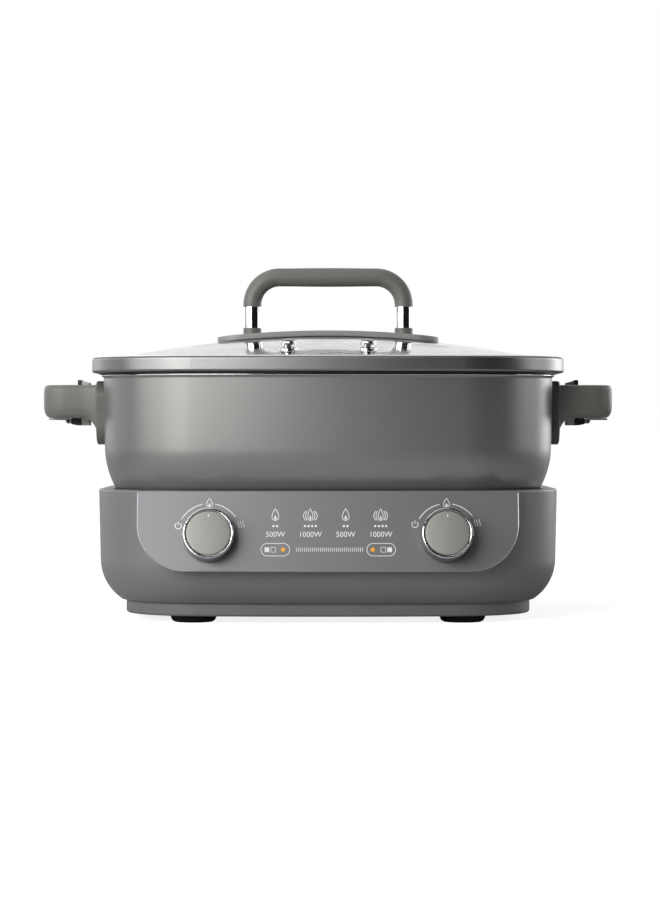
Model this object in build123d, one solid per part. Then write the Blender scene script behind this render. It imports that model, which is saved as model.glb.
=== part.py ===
from build123d import *
import math
import os

# Electric hot pot: a low heated base, a divided lift-off pot with two side handles, and a glass lid.
# Millimetres, +Z up, the table at z = 0, the front (knob side) towards -Y.

# ------------------------------------------------------------------ driving sizes: plan shape
pot_width = 336.4  # over the side walls at the rim
pot_depth = 270.0  # over the bowed front and back walls at the rim
plan_corner = 78.0  # corner radius in plan
bow_radius = 941.0  # radius of the bowed front and back walls

# ------------------------------------------------------------------ driving sizes: base
foot_height = 5.0
foot_radius = 17.6
foot_x = 99.0
foot_y = 92.0
foot_taper = 4.0  # towards the table
foot_stud_radius = 3.0
foot_button_height = 2.0  # of the stud's head over the cover
cover_height = 10.0  # bottom cover, above the feet
cover_inset = 17.1  # how far the cover stands in from the pot's wall, in plan
cover_wall = 2.5
cover_edge = 1.8
base_top = 97.2
base_margin = 3.4  # how far the base stands out beyond the pot's wall, in plan
base_wall = 3.0
base_draft = 1.2  # degrees
base_turn_radius = 36.0  # where the side turns under
base_turn_bottom = 9.0  # level at which that turn would end if it went all the way round
base_edge_radius = 1.4
well_gap = 2.0  # between the pot and the well that it sits in
well_wall = 2.5
pot_stand = 3.0  # of the pot's underside over the well's floor
boss_radius = 5.0
boss_x = 126.0
boss_y = 70.0
cover_screw_radius = 1.6
cover_screw_head = 4.0
cover_screw_head_height = 1.8
cover_screw_length = 16.0
slot_width = 4.0
slot_length = 56.0
slot_pitch = 12.0
slots_per_side = 8
slot_start = 6.0  # of the first slot's pitch from the middle

# ------------------------------------------------------------------ driving sizes: control console
console_half_width = 138.0
console_bottom = 39.5
console_corner = 34.0
console_tilt = 11.5  # degrees, leaning back
console_bow = 1400.0
console_wall = 2.7
console_depth = 32.0  # from its top front edge back into the base
fascia_thickness = 2.0
fascia_overhang = 1.2
fascia_edge = 0.7
knob_x = 85.5
knob_height = 64.5  # where a knob's axis leaves the fascia
knob_travel = 78.0  # degrees each way
indicator_x = 32.2
indicator_height = 55.3
indicator_radius = 1.6
board_level = 62.5  # of the middle of the board, measured on the fascia
board_width = 120.0
board_height = 28.0
board_thickness = 1.6
board_standoff = 5.0
standoff_radius = 2.5
standoff_inset = (6.0, 5.0)  # from the board's edges

# ------------------------------------------------------------------ driving sizes: knob and its switch
knob_skirt_radius = 19.2
knob_ring_radius = 18.3
knob_cap_radius = 16.15
knob_reach = 16.8  # from the fascia to the face of the cap
knob_gap = 1.6  # under the skirt, over the bowed fascia
knob_ring_length = 3.6
knob_cap_thickness = 2.4
knob_hollow_radius = 15.0
knob_hollow_depth = 5.0
shaft_radius = 3.0
shaft_flat = 1.0  # depth of the D flat
shaft_fit = 0.05
bush_radius = 4.5
bush_reach = 3.0  # beyond the fascia
nut_across_flats = 13.0
nut_thickness = 2.2
nut_gap = 0.5  # over the bowed fascia
switch_size = 23.0
switch_depth = 12.0
switch_gap = 0.9  # behind the bowed wall

# ------------------------------------------------------------------ driving sizes: heating
plate_x = 74.0
plate_radius = 62.0
plate_thickness = 8.0
plate_leg_radius = 4.0
plate_leg_circle = 50.0
element_tube = 4.0
element_circle = 36.0
element_sweep = 280.0  # degrees
pan_thickness = 0.8
pan_flange = 6.0
pan_depth = 22.0  # below the well's floor
pan_gap = 1.2
sensor_radius = 11.9
sensor_flange = 14.2
sensor_stem = 3.0
sensor_rise = 0.3  # below the pot when the pot stands on it
sensor_travel = 2.0
fuse_radius = 3.0
fuse_length = 24.0

# ------------------------------------------------------------------ driving sizes: power inlet
inlet_height = 45.0
inlet_flange = (34.0, 27.0)
inlet_mouth = (24.6, 17.0)
inlet_depth = 22.0
inlet_recess = 16.0
inlet_flange_thickness = 3.0
inlet_wall = 2.0
inlet_corner = 4.0
inlet_pad_margin = 4.0  # round the flange
inlet_pad_depth = 10.0
inlet_pad_stand = 0.6  # out of the base's back
pin_size = (4.0, 14.0, 2.0)
pin_spacing = 7.0
pin_rise = 2.0
terminal_block = (30.0, 18.0, 14.0)
terminal_inset = 60.0  # from the pot's back

# ------------------------------------------------------------------ driving sizes: pot
pot_bottom = 80.0
pot_rim = 182.5
pot_wall = 3.0
pot_floor_thickness = 4.0
pot_draft = 0.9
pot_turn_radius = 64.0  # where the wall turns in to the floor
pot_turn_start = 129.0
pot_lip = 1.5  # how far the rolled lip stands out
pot_lip_height = 2.0
pot_foot_edge = 5.0
divider_top = 172.0
divider_thickness = 3.0
divider_draft = 2.0

# ------------------------------------------------------------------ driving sizes: side handles
handle_reach = 215.5  # from the middle of the pot
handle_half_length = 48.0
handle_bottom = 150.0
handle_top = 175.0
handle_bar = 14.0
handle_corner = 17.0
handle_edge = 2.0
handle_taper = 2.0  # how much each limb draws in at its outer end
escutcheon_thickness = 6.8
escutcheon_bottom = 130.0
escutcheon_top = 178.0
escutcheon_half_length = 51.0
escutcheon_corner = 12.0
escutcheon_edge = 1.5
root_flare = 9.0
rivet_radius = 2.5
rivet_head = 5.0
rivet_y = 30.0
rivet_z = 140.0
rivet_grip = 4.0

# ------------------------------------------------------------------ driving sizes: release levers
lever_half_width = 8.0
lever_outer = 191.8
lever_skin = 2.6
clip_depth = 6.6
clip_inset = 0.8  # of the clip's sides in from the lever's
lever_bottom = 144.4
lever_top = 179.2
lever_pivot_x = 199.0
lever_pivot_z = 147.8
lever_pin_radius = 1.0
knuckle_radius = 2.0
knuckle_half = 3.8
lever_travel = 10.0  # degrees
catch_half_width = 3.5
catch_height = 3.0
catch_z = 162.0
catch_bite = 2.6
hinge_strip_thickness = 1.5
hinge_strip_inset = 1.5  # in from the grip's outer face

# ------------------------------------------------------------------ driving sizes: lid
lid_overhang = 8.6
rim_bottom = 183.7
rim_top = 194.4
rim_wall = 2.2
rim_lip = 4.0  # how far the rim laps over the glass
rim_edge = 1.6
gasket_lap = 3.0
gasket_skirt = 1.4
gasket_drop = 5.5
gasket_gap = 0.6
glass_edge_level = 192.3
glass_rise = 20.1
glass_thickness = 4.0
glass_corner_fall = 0.78
glass_gap = 0.1
vent_x = 29.0
vent_inset = 25.0  # from the pot's front
vent_neck = 4.3
vent_flange = 7.3
vent_cap = 6.15
vent_height = 6.6
vent_bore = 1.5
vent_tail = 3.4
bridge_half_length = 84.8
bridge_half_width = 17.0
bridge_thickness = 4.6  # over the middle of the glass
bridge_radius = 641.0
bridge_edge = 0.9
bridge_seat = 2.5  # an edge higher than this over the glass is rounded
post_x = 58.2
post_radius = 6.75
collar_height = 2.3  # over the crown of the bridge
post_length = 16.2
grip_radius = 6.95
grip_swell = 0.3  # how much fuller the grip is in the middle
grip_rise = 22.75  # of the grip's middle over the posts
grip_bend = 21.0
collar_radius = 6.9
spigot_radius = 4.5
spigot_length = 9.0
stud_radius = 2.5
stud_head_radius = 4.2
stud_head_height = 2.2
washer_radius = 5.5
washer_thickness = 0.8

# ------------------------------------------------------------------ clearances
hole_fit = 0.05  # round a shank that stays put
seat_gap = 0.3  # between pieces of different bodies that pass close by

CUT = 400.0  # longer than anything it has to cut through


# ------------------------------------------------------------------ shared shapes
def plan(grow, level=0.0):
    """The rounded, bowed plan shape at a level, grown outwards from the pot's wall."""
    half = pot_width / 2 + grow
    nose = pot_depth / 2 + grow
    radius = bow_radius + grow
    side = nose - radius + math.sqrt(radius**2 - half**2)
    edges = [
        ThreePointArc((-half, -side), (0, -nose), (half, -side)),
        Line((half, -side), (half, side)),
        ThreePointArc((half, side), (0, nose), (-half, side)),
        Line((-half, side), (-half, -side)),
    ]
    face = make_face(Curve() + edges)
    return Pos(0, 0, level) * fillet(face.vertices(), plan_corner + grow)


def prism(grow, bottom, top):
    """An upright block of the plan shape."""
    return extrude(plan(grow, bottom), top - bottom)


def ring(outer, inner, bottom, top):
    """An upright wall that follows the plan shape."""
    return prism(outer, bottom, top) - prism(inner, bottom - 1, top + 1)


def band(bottom, top):
    """Everything between two levels."""
    return Pos(0, 0, (bottom + top) / 2) * Box(2 * CUT, 2 * CUT, top - bottom)


def turned_block(grow, top, turn_bottom, turn_radius, draft, floor):
    """A drafted block of the plan shape whose walls turn in towards a flat floor."""
    depth = top - turn_bottom + grow
    block = extrude(plan(grow, top), -depth, taper=draft)
    low_edges = block.edges().group_by(Axis.Z)[0]
    block = fillet(low_edges, turn_radius + grow)
    return block & band(floor, top)


def pot_block(grow, floor):
    """The pot's outside, grown or shrunk, down to a floor level."""
    turn_bottom = pot_turn_start - pot_turn_radius
    return turned_block(grow, pot_rim, turn_bottom, pot_turn_radius, pot_draft, floor)


def base_block(grow, floor):
    """The base's outside, grown or shrunk, down to a floor level."""
    turn_bottom = base_turn_bottom + base_margin
    turn_radius = base_turn_radius - base_margin
    return turned_block(base_margin + grow, base_top, turn_bottom, turn_radius, base_draft, floor)


def rod(radius, start, end):
    """A round bar between two points."""
    axis = Vector(*end) - Vector(*start)
    return extrude(Plane(origin=start, z_dir=axis) * Circle(radius), axis.length)


def mirrored(shape):
    """The right-hand twin of a left-hand piece."""
    return mirror(shape, about=Plane.YZ)


def spun(points, place=Location()):
    """A turned piece from its half section, given as radius and height."""
    profile = Plane.XZ * make_face(Polyline(*points, close=True))
    return place * revolve(profile, Axis.Z)


# ------------------------------------------------------------------ levels worked out from the above
cover_top = foot_height + cover_height
cover_floor = foot_height + cover_wall
well_floor = pot_bottom - pot_stand
well_underside = well_floor - well_wall
tilt = math.radians(console_tilt)
fascia_top_y = -(pot_depth / 2 + base_margin)
terminal_y = pot_depth / 2 - terminal_inset
vent_y = pot_depth / 2 - vent_inset
bridge_crown = glass_edge_level + glass_rise + bridge_thickness
post_bottom = bridge_crown + collar_height
post_top = post_bottom + post_length
grip_axis_level = post_top + grip_rise


# ------------------------------------------------------------------ base: console frame
def fascia_point(x, z):
    """A point of the fascia's outer surface."""
    lean = (base_top - z) * math.tan(tilt)
    recession = console_bow - math.sqrt(console_bow**2 - x**2)
    return Vector(x, fascia_top_y - lean + recession / math.cos(tilt), z)


def console_frame(x, z):
    """A plane on the fascia whose normal points out of it; every knob axis is square to its middle."""
    return Plane(origin=fascia_point(x, z), x_dir=(1, 0, 0), z_dir=(0, -math.cos(tilt), math.sin(tilt)))


def console_block(depth, inset):
    """The console's wedge, its face set back by depth and its sides and bottom drawn in by inset."""
    half = console_half_width - inset
    low = console_bottom + inset
    corner = console_corner - inset
    outline = make_face(Polyline((-half, base_top), (-half, low), (half, low), (half, base_top), close=True))
    corners = outline.vertices().group_by(Axis.Y)[0]
    outline = fillet(corners, corner)
    front = extrude(Plane.XZ * outline, CUT)
    back_y = fascia_top_y + console_depth
    front = front & Pos(0, back_y - CUT / 2, 0) * Box(2 * CUT, CUT, 2 * CUT)
    middle = fascia_point(0, base_top) + Vector(0, math.cos(tilt), -math.sin(tilt)) * console_bow
    drum_plane = Plane(origin=middle, z_dir=(0, math.sin(tilt), math.cos(tilt)))
    drum = extrude(drum_plane * Circle(console_bow - depth), CUT, both=True)
    return front & drum


def base_housing():
    """Moulded shell: outer wall, console, top ledge, well for the pot, screw bosses and board pillars."""
    outside = base_block(0, cover_top)
    outside = fillet(outside.edges().group_by(Axis.Z)[-1], base_edge_radius)
    outside += console_block(fascia_thickness, fascia_overhang)
    outside -= console_block(-fascia_thickness, 0) - console_block(fascia_thickness, -1)
    hollow = base_block(-base_wall, cover_top - 1) + console_block(
        fascia_thickness + console_wall, fascia_overhang + console_wall
    )
    hollow &= band(cover_top - 1, base_top - base_wall)
    hollow -= pot_block(well_gap + well_wall, well_underside)
    shell = outside - hollow
    for x in (-boss_x, boss_x):
        for y in (-boss_y, boss_y):
            boss = Pos(x, y, (cover_floor + base_top - 1) / 2) * Cylinder(boss_radius, base_top - 1 - cover_floor)
            shell += boss
    pillar_x = board_width / 2 - standoff_inset[0]
    pillar_rise = board_height / 2 - standoff_inset[1]
    for x in (-pillar_x, pillar_x):
        for rise in (-pillar_rise, pillar_rise):
            foot = console_frame(0, board_level + rise * math.cos(tilt))
            foot = foot.offset(-(fascia_thickness + console_wall + board_standoff))
            shell += extrude(foot * Pos(x, 0) * Circle(standoff_radius), board_standoff + console_wall / 2)
    shell -= pot_block(well_gap, well_floor)
    for x in (-plate_x, plate_x):
        hole_radius = plate_radius + pan_gap + pan_thickness + seat_gap
        shell -= Pos(x, 0, well_floor) * Cylinder(hole_radius, 4 * well_wall)
        shell -= console_frame(x / plate_x * knob_x, knob_height) * Cylinder(bush_radius + hole_fit, CUT / 8)
    for x in (-indicator_x, indicator_x):
        shell -= console_frame(x, indicator_height) * Cylinder(indicator_radius + seat_gap, CUT / 10)
    for x in (-boss_x, boss_x):
        for y in (-boss_y, boss_y):
            thread_depth = cover_screw_length + 2
            shell -= Pos(x, y, cover_floor + thread_depth / 2) * Cylinder(cover_screw_radius + hole_fit, thread_depth)
    pad_face = inlet_face_y()
    pad_width = inlet_flange[0] + 2 * inlet_pad_margin
    pad_height = inlet_flange[1] + 2 * inlet_pad_margin
    pad = Pos(0, pad_face - inlet_pad_depth / 2, inlet_height) * Box(pad_width, inlet_pad_depth, pad_height)
    shell += fillet(pad.edges().filter_by(Axis.Y), inlet_corner + inlet_pad_margin / 4)
    shell -= Pos(0, pad_face, inlet_height) * Box(inlet_body()[0], CUT / 8, inlet_body()[1])
    return shell


def fascia_hole(x, z, radius):
    """A hole through the fascia, square to it."""
    return console_frame(x, z) * Cylinder(radius, CUT / 10)


def control_panel():
    """Thin curved fascia that laps round the console's face."""
    plate = console_block(0, 0) - console_block(fascia_thickness, -1)
    front_face = ShapeList(plate.faces().sort_by(SortBy.AREA)[-2:]).sort_by(Axis.Y)[0]
    plate = fillet(front_face.edges(), fascia_edge)
    for x in (-knob_x, knob_x):
        plate -= fascia_hole(x, knob_height, bush_radius + hole_fit)
    for x in (-indicator_x, indicator_x):
        plate -= fascia_hole(x, indicator_height, indicator_radius + hole_fit)
    return plate


def inlet_face_y():
    """The flat pad at the back that the inlet's flange lies on."""
    drop = base_top - inlet_height
    return pot_depth / 2 + base_margin - drop * math.tan(math.radians(base_draft)) + inlet_pad_stand


def inlet_body():
    """Width and height of the inlet's body behind its flange."""
    return (inlet_mouth[0] + 2 * inlet_wall, inlet_mouth[1] + 2 * inlet_wall)


def power_inlet():
    """Appliance inlet: flange, body and the recess that the lead's connector enters."""
    face = inlet_face_y()
    flange = Pos(0, face + inlet_flange_thickness / 2, inlet_height) * Box(
        inlet_flange[0], inlet_flange_thickness, inlet_flange[1]
    )
    flange = fillet(flange.edges().filter_by(Axis.Y), inlet_corner)
    width, height = inlet_body()
    body = Pos(0, face - inlet_depth / 2, inlet_height) * Box(
        width - 2 * hole_fit, inlet_depth, height - 2 * hole_fit
    )
    mouth_middle = face + inlet_flange_thickness - inlet_recess / 2
    mouth = Pos(0, mouth_middle, inlet_height) * Box(inlet_mouth[0], inlet_recess, inlet_mouth[1])
    mouth = chamfer(mouth.edges().filter_by(Axis.Y).group_by(Axis.Z)[-1], inlet_corner)
    inlet = flange + body - mouth
    for x, rise in pin_places():
        inlet -= inlet_pin(x, rise, hole_fit)
    return inlet


def pin_places():
    """The three pins: live and neutral below, earth above."""
    return [(-pin_spacing, -pin_rise), (pin_spacing, -pin_rise), (0, pin_rise)]


def inlet_pin(x, rise, grow=0.0):
    """One flat contact pin, from behind the body to just inside the mouth."""
    front = inlet_face_y() + inlet_flange_thickness - inlet_recess + pin_size[1]
    back = inlet_face_y() - inlet_depth - 6
    blade = Pos(x, (front + back) / 2, inlet_height + rise) * Box(
        pin_size[2] + 2 * grow, front - back, pin_size[0] + 2 * grow
    )
    return blade


def inlet_pins():
    return Compound([inlet_pin(x, rise) for x, rise in pin_places()])


def terminals():
    """Terminal block on the bottom cover, in front of the inlet."""
    length, depth, height = terminal_block
    block = Pos(0, terminal_y, cover_floor + height / 2) * Box(length, depth, height)
    for x in (-length / 3, 0, length / 3):
        block -= Pos(x, terminal_y, cover_floor + height) * Cylinder(2.2, height)
    return block


def base_bottom_cover():
    """Tray that closes the base, with foot sockets, screw holes and cooling slots."""
    tray = prism(-cover_inset, foot_height, cover_top)
    tray = fillet(tray.edges().group_by(Axis.Z)[0], cover_edge)
    tray -= prism(-cover_inset - cover_wall, cover_floor, cover_top + 1)
    for x in (-foot_x, foot_x):
        for y in (-foot_y, foot_y):
            tray -= Pos(x, y, foot_height) * Cylinder(foot_stud_radius + hole_fit, CUT / 10)
    for x in (-boss_x, boss_x):
        for y in (-boss_y, boss_y):
            tray -= Pos(x, y, foot_height) * Cylinder(cover_screw_radius + seat_gap, CUT / 10)
    for side in (-1, 1):
        for index in range(slots_per_side):
            x = side * (slot_pitch * (index + 0.5) + slot_start)
            slot = Pos(x, 0, foot_height) * Box(slot_width, slot_length, CUT / 10)
            tray -= fillet(slot.edges().filter_by(Axis.Z), slot_width / 2 - 0.1)
    return tray


def rubber_feet():
    """Four soft feet, each with a stud through the cover."""
    stud_top = cover_floor + foot_button_height
    section = [
        (0, 0),
        (foot_radius - foot_taper, 0),
        (foot_radius - foot_taper / 2, foot_height * 0.2),
        (foot_radius, foot_height),
        (foot_stud_radius, foot_height),
        (foot_stud_radius, cover_floor),
        (foot_stud_radius + 1.5, cover_floor),
        (foot_stud_radius, stud_top),
        (0, stud_top),
    ]
    return Compound([spun(section, Pos(x, y, 0)) for x in (-foot_x, foot_x) for y in (-foot_y, foot_y)])


def cover_screws():
    """Pan-head screws up into the bosses."""
    section = [
        (0, -cover_screw_head_height),
        (cover_screw_head - 0.8, -cover_screw_head_height),
        (cover_screw_head, 0),
        (cover_screw_radius, 0),
        (cover_screw_radius, cover_screw_length),
        (0, cover_screw_length),
    ]
    places = [Pos(x, y, foot_height) for x in (-boss_x, boss_x) for y in (-boss_y, boss_y)]
    return Compound([spun(section, place) for place in places])


# ------------------------------------------------------------------ base: heating
def heat_pan():
    """Thin steel pan that hangs in the well's floor and carries the hot plate."""
    rim = plate_radius + pan_gap + pan_thickness
    low = well_floor - pan_depth
    section = [
        (0, low),
        (rim, low),
        (rim, well_floor),
        (rim + pan_flange, well_floor),
        (rim + pan_flange, well_floor + pan_thickness),
        (rim - pan_thickness, well_floor + pan_thickness),
        (rim - pan_thickness, low + pan_thickness),
        (0, low + pan_thickness),
    ]
    pan = spun(section, Pos(-plate_x, 0, 0))
    pan -= Pos(-plate_x, 0, low) * Cylinder(sensor_stem + seat_gap, CUT / 10)
    for angle in element_ends():
        pan -= element_terminal(angle, seat_gap + 1)
    return pan


def element_ends():
    """The two angles at which the element's ends turn down."""
    spare = (360 - element_sweep) / 2
    return (-90 + spare, 270 - spare)


def element_terminal(angle, grow=0.0):
    """An end of the element, down through the pan."""
    x = -plate_x + element_circle * math.cos(math.radians(angle))
    y = element_circle * math.sin(math.radians(angle))
    top = pot_bottom - plate_thickness
    return rod(element_tube - 0.6 + grow, (x, y, well_floor - pan_depth - 6), (x, y, top))


def element_ring(grow=0.0):
    """The curved run of the sheathed element, half let into the hot plate."""
    start, end = element_ends()
    path = Pos(-plate_x, 0, pot_bottom - plate_thickness) * CenterArc((0, 0), element_circle, start, element_sweep)
    return sweep(path.location_at(0) * Rot(0, 0, 0) * Circle(element_tube + grow), path)


def heating_plate():
    """Cast hot plate on three legs, with a stepped bore for the sensor and a groove for the element."""
    plate = Pos(-plate_x, 0, pot_bottom - plate_thickness / 2) * Cylinder(plate_radius, plate_thickness)
    plate = chamfer(plate.edges().group_by(Axis.Z)[-1], 1)
    leg_bottom = well_floor - pan_depth + pan_thickness
    for turn in (30, 150, 270):
        x = -plate_x + plate_leg_circle * math.cos(math.radians(turn))
        y = plate_leg_circle * math.sin(math.radians(turn))
        plate += rod(plate_leg_radius, (x, y, leg_bottom), (x, y, pot_bottom - plate_thickness / 2))
    plate -= Pos(-plate_x, 0, pot_bottom) * Cylinder(sensor_radius + seat_gap, 3 * plate_thickness)
    step = pot_bottom - plate_thickness / 2 - 1
    plate -= Pos(-plate_x, 0, step - plate_thickness) * Cylinder(sensor_flange + seat_gap, 2 * plate_thickness)
    plate -= element_ring(hole_fit)
    for angle in element_ends():
        plate -= element_terminal(angle, hole_fit)
    return plate


def heating_element():
    """Sheathed element: one open ring and two ends that turn down."""
    element = element_ring()
    for angle in element_ends():
        element += element_terminal(angle)
    return element


def temperature_sensor():
    """Sprung button in the middle of the hot plate that the pot's floor presses."""
    step = pot_bottom - plate_thickness / 2 - 1
    crown = pot_bottom - sensor_rise
    low = well_floor - pan_depth
    section = [
        (0, low - 3),
        (sensor_stem, low - 3),
        (sensor_stem, low + 6),
        (sensor_radius - 2, low + 6),
        (sensor_radius - 2, step - 2.3),
        (sensor_flange, step - 2.3),
        (sensor_flange, step - seat_gap),
        (sensor_radius, step - seat_gap),
        (sensor_radius, crown - 1),
        (sensor_radius - 1, crown),
        (0, crown),
    ]
    return spun(section, Pos(-plate_x, 0, 0))


def thermal_fuse():
    """Fuse capsule under the pan."""
    level = well_floor - pan_depth - fuse_radius
    capsule = Pos(-plate_x, plate_radius / 2, level) * Rot(0, 90, 0) * Cylinder(fuse_radius, fuse_length)
    return fillet(capsule.edges(), 1)


# ------------------------------------------------------------------ base: switches, board and indicators
def knob_frame():
    return console_frame(-knob_x, knob_height)


def rotary_switch():
    """Switch body behind the console's wall, with its bush through wall and fascia."""
    frame = knob_frame()
    back = fascia_thickness + console_wall
    body = extrude(frame.offset(-back - switch_gap) * Rectangle(switch_size, switch_size), -switch_depth)
    body = fillet(body.edges().filter_by(lambda edge: abs(edge.length - switch_depth) < 0.01), 2)
    bush = extrude(frame.offset(-back - 1) * Circle(bush_radius), back + 1 + bush_reach)
    bore = extrude(frame.offset(-back - switch_depth + 2) * Circle(shaft_radius + shaft_fit), CUT / 4)
    return body + bush - bore


def switch_nut():
    """Hexagon nut that clamps the switch to the fascia, under the knob."""
    frame = knob_frame()
    hexagon = RegularPolygon(nut_across_flats / 2, 6, major_radius=False)
    nut = extrude(frame.offset(nut_gap) * hexagon, nut_thickness)
    return nut - extrude(frame * Circle(bush_radius + hole_fit), CUT / 10)


def control_board():
    """Circuit board on the console's pillars."""
    frame = console_frame(0, board_level).offset(-(fascia_thickness + console_wall + board_standoff))
    return extrude(frame * Rectangle(board_width, board_height), -board_thickness)


def indicator():
    """Small light pipe from the board to the fascia's face."""
    frame = console_frame(-indicator_x, indicator_height)
    depth = fascia_thickness + console_wall + board_standoff - 0.6
    pipe = extrude(frame.offset(-depth) * Circle(indicator_radius), depth + 0.3)
    return fillet(pipe.edges().sort_by(Axis.Y)[0], 0.25)


# ------------------------------------------------------------------ knobs
def knob_body():
    """Skirted knob, hollow over the nut, bored for the shaft."""
    ring_seat = knob_reach - knob_ring_length
    section = [
        (shaft_radius + hole_fit, knob_gap + knob_hollow_depth),
        (knob_hollow_radius, knob_gap + knob_hollow_depth),
        (knob_hollow_radius, knob_gap),
        (knob_skirt_radius, knob_gap),
        (knob_skirt_radius, knob_gap + 1.2),
        (knob_ring_radius, ring_seat),
        (knob_cap_radius + hole_fit, ring_seat),
        (knob_cap_radius + hole_fit, knob_reach - knob_cap_thickness),
        (shaft_radius + hole_fit, knob_reach - knob_cap_thickness),
    ]
    return spun(section, knob_frame().location)


def knob_ring():
    """Bright ring round the cap, its front edge rounded."""
    low = knob_reach - knob_ring_length
    high = knob_reach - 0.4
    section = make_face(
        Polyline(
            (knob_cap_radius + hole_fit, low),
            (knob_ring_radius, low),
            (knob_ring_radius, high),
            (knob_cap_radius + hole_fit, high),
            close=True,
        )
    )
    section = fillet(section.vertices().group_by(Axis.Y)[-1], 0.9)
    return knob_frame().location * revolve(Plane.XZ * section, Axis.Z)


def knob_cap():
    """Slightly crowned cap with a pointer groove at its top edge."""
    low = knob_reach - knob_cap_thickness
    section = [
        (0, low),
        (knob_cap_radius, low),
        (knob_cap_radius, knob_reach - 0.7),
        (knob_cap_radius - 0.7, knob_reach - 0.15),
        (knob_cap_radius * 0.5, knob_reach - 0.03),
        (0, knob_reach),
    ]
    cap = spun(section)
    groove = Pos(0, knob_cap_radius * 0.8, knob_reach) * Box(0.8, 2.4, 0.6)
    return knob_frame().location * (cap - groove)


def knob_shaft():
    """D-shaft from inside the switch to the knob."""
    frame = knob_frame()
    start = -(fascia_thickness + console_wall + switch_depth - 2.5)
    end = knob_reach - knob_cap_thickness
    shaft = extrude(frame.offset(start) * Circle(shaft_radius), end - start)
    flat_bottom = bush_reach + 0.5
    flat = extrude(
        frame.offset(flat_bottom) * Pos(0, shaft_radius) * Rectangle(4 * shaft_radius, 2 * shaft_flat), CUT / 10
    )
    return shaft - flat


# ------------------------------------------------------------------ pot
def pot_vessel():
    """Cast vessel with a rolled lip, a cast divider and rivet holes for the handle plates."""
    outside = pot_block(0, pot_bottom)
    outside = fillet(outside.edges().group_by(Axis.Z)[0], pot_foot_edge)
    lip = prism(pot_lip, pot_rim - pot_lip_height, pot_rim)
    outside += fillet(lip.edges().group_by(Axis.Z)[-1] + lip.edges().group_by(Axis.Z)[0], pot_lip / 2)
    hollow = pot_block(-pot_wall, pot_bottom + pot_floor_thickness)
    vessel = outside - hollow
    height = divider_top - pot_bottom - pot_floor_thickness / 2
    foot = divider_thickness / 2 + height * math.tan(math.radians(divider_draft))
    section = make_face(
        Polyline(
            (-foot, divider_top - height),
            (foot, divider_top - height),
            (divider_thickness / 2, divider_top),
            (-divider_thickness / 2, divider_top),
            close=True,
        )
    )
    section = fillet(section.vertices().group_by(Axis.Y)[-1], divider_thickness / 2 - 0.1)
    wall = extrude(Plane.XZ * section, CUT, both=True)
    vessel += wall & pot_block(-pot_wall / 2, pot_bottom + pot_floor_thickness / 2)
    for side in (-1, 1):
        for y in (-rivet_y, rivet_y):
            vessel -= Pos(side * pot_width / 2, y, rivet_z) * Rot(0, 90, 0) * Cylinder(rivet_radius + hole_fit, 30)
    return vessel


def wall_x(z):
    """How far out the pot's side wall is at a level."""
    return pot_width / 2 - (pot_rim - z) * math.tan(math.radians(pot_draft))


def escutcheon():
    """Handle plate on the left wall, its back lying on the drafted wall."""
    half = escutcheon_half_length
    height = escutcheon_top - escutcheon_bottom
    outline = RectangleRounded(2 * half, height, escutcheon_corner)
    middle = (escutcheon_top + escutcheon_bottom) / 2
    lean = math.radians(pot_draft)
    plane = Plane(
        origin=(-wall_x(middle), 0, middle), x_dir=(0, -1, 0), z_dir=(-math.cos(lean), 0, -math.sin(lean))
    )
    plate = extrude(plane * outline, escutcheon_thickness)
    plate = fillet(plate.faces().sort_by(Axis.X)[0].edges(), escutcheon_edge)
    wall = wall_x(rivet_z)
    for y in (-rivet_y, rivet_y):
        plate -= rod(rivet_radius + hole_fit, (-wall + pot_wall, y, rivet_z), (-wall - rivet_grip, y, rivet_z))
    slot_height = catch_height + 2 * seat_gap + catch_rise()
    slot_middle = catch_z + catch_rise() / 2
    face = -escutcheon_face(catch_z)
    plate -= Pos(face, 0, slot_middle) * Box(
        2 * (catch_bite + 1), 2 * (catch_half_width + seat_gap), slot_height
    )
    return plate


def escutcheon_face(z):
    """How far out the plate's face is at a level."""
    return wall_x(z) + escutcheon_thickness / math.cos(math.radians(pot_draft))


def catch_rise():
    """How much the catch rises as its lever is squeezed."""
    arm = lever_pivot_x - escutcheon_face(catch_z) + catch_bite
    return arm * math.sin(math.radians(lever_travel))


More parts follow.
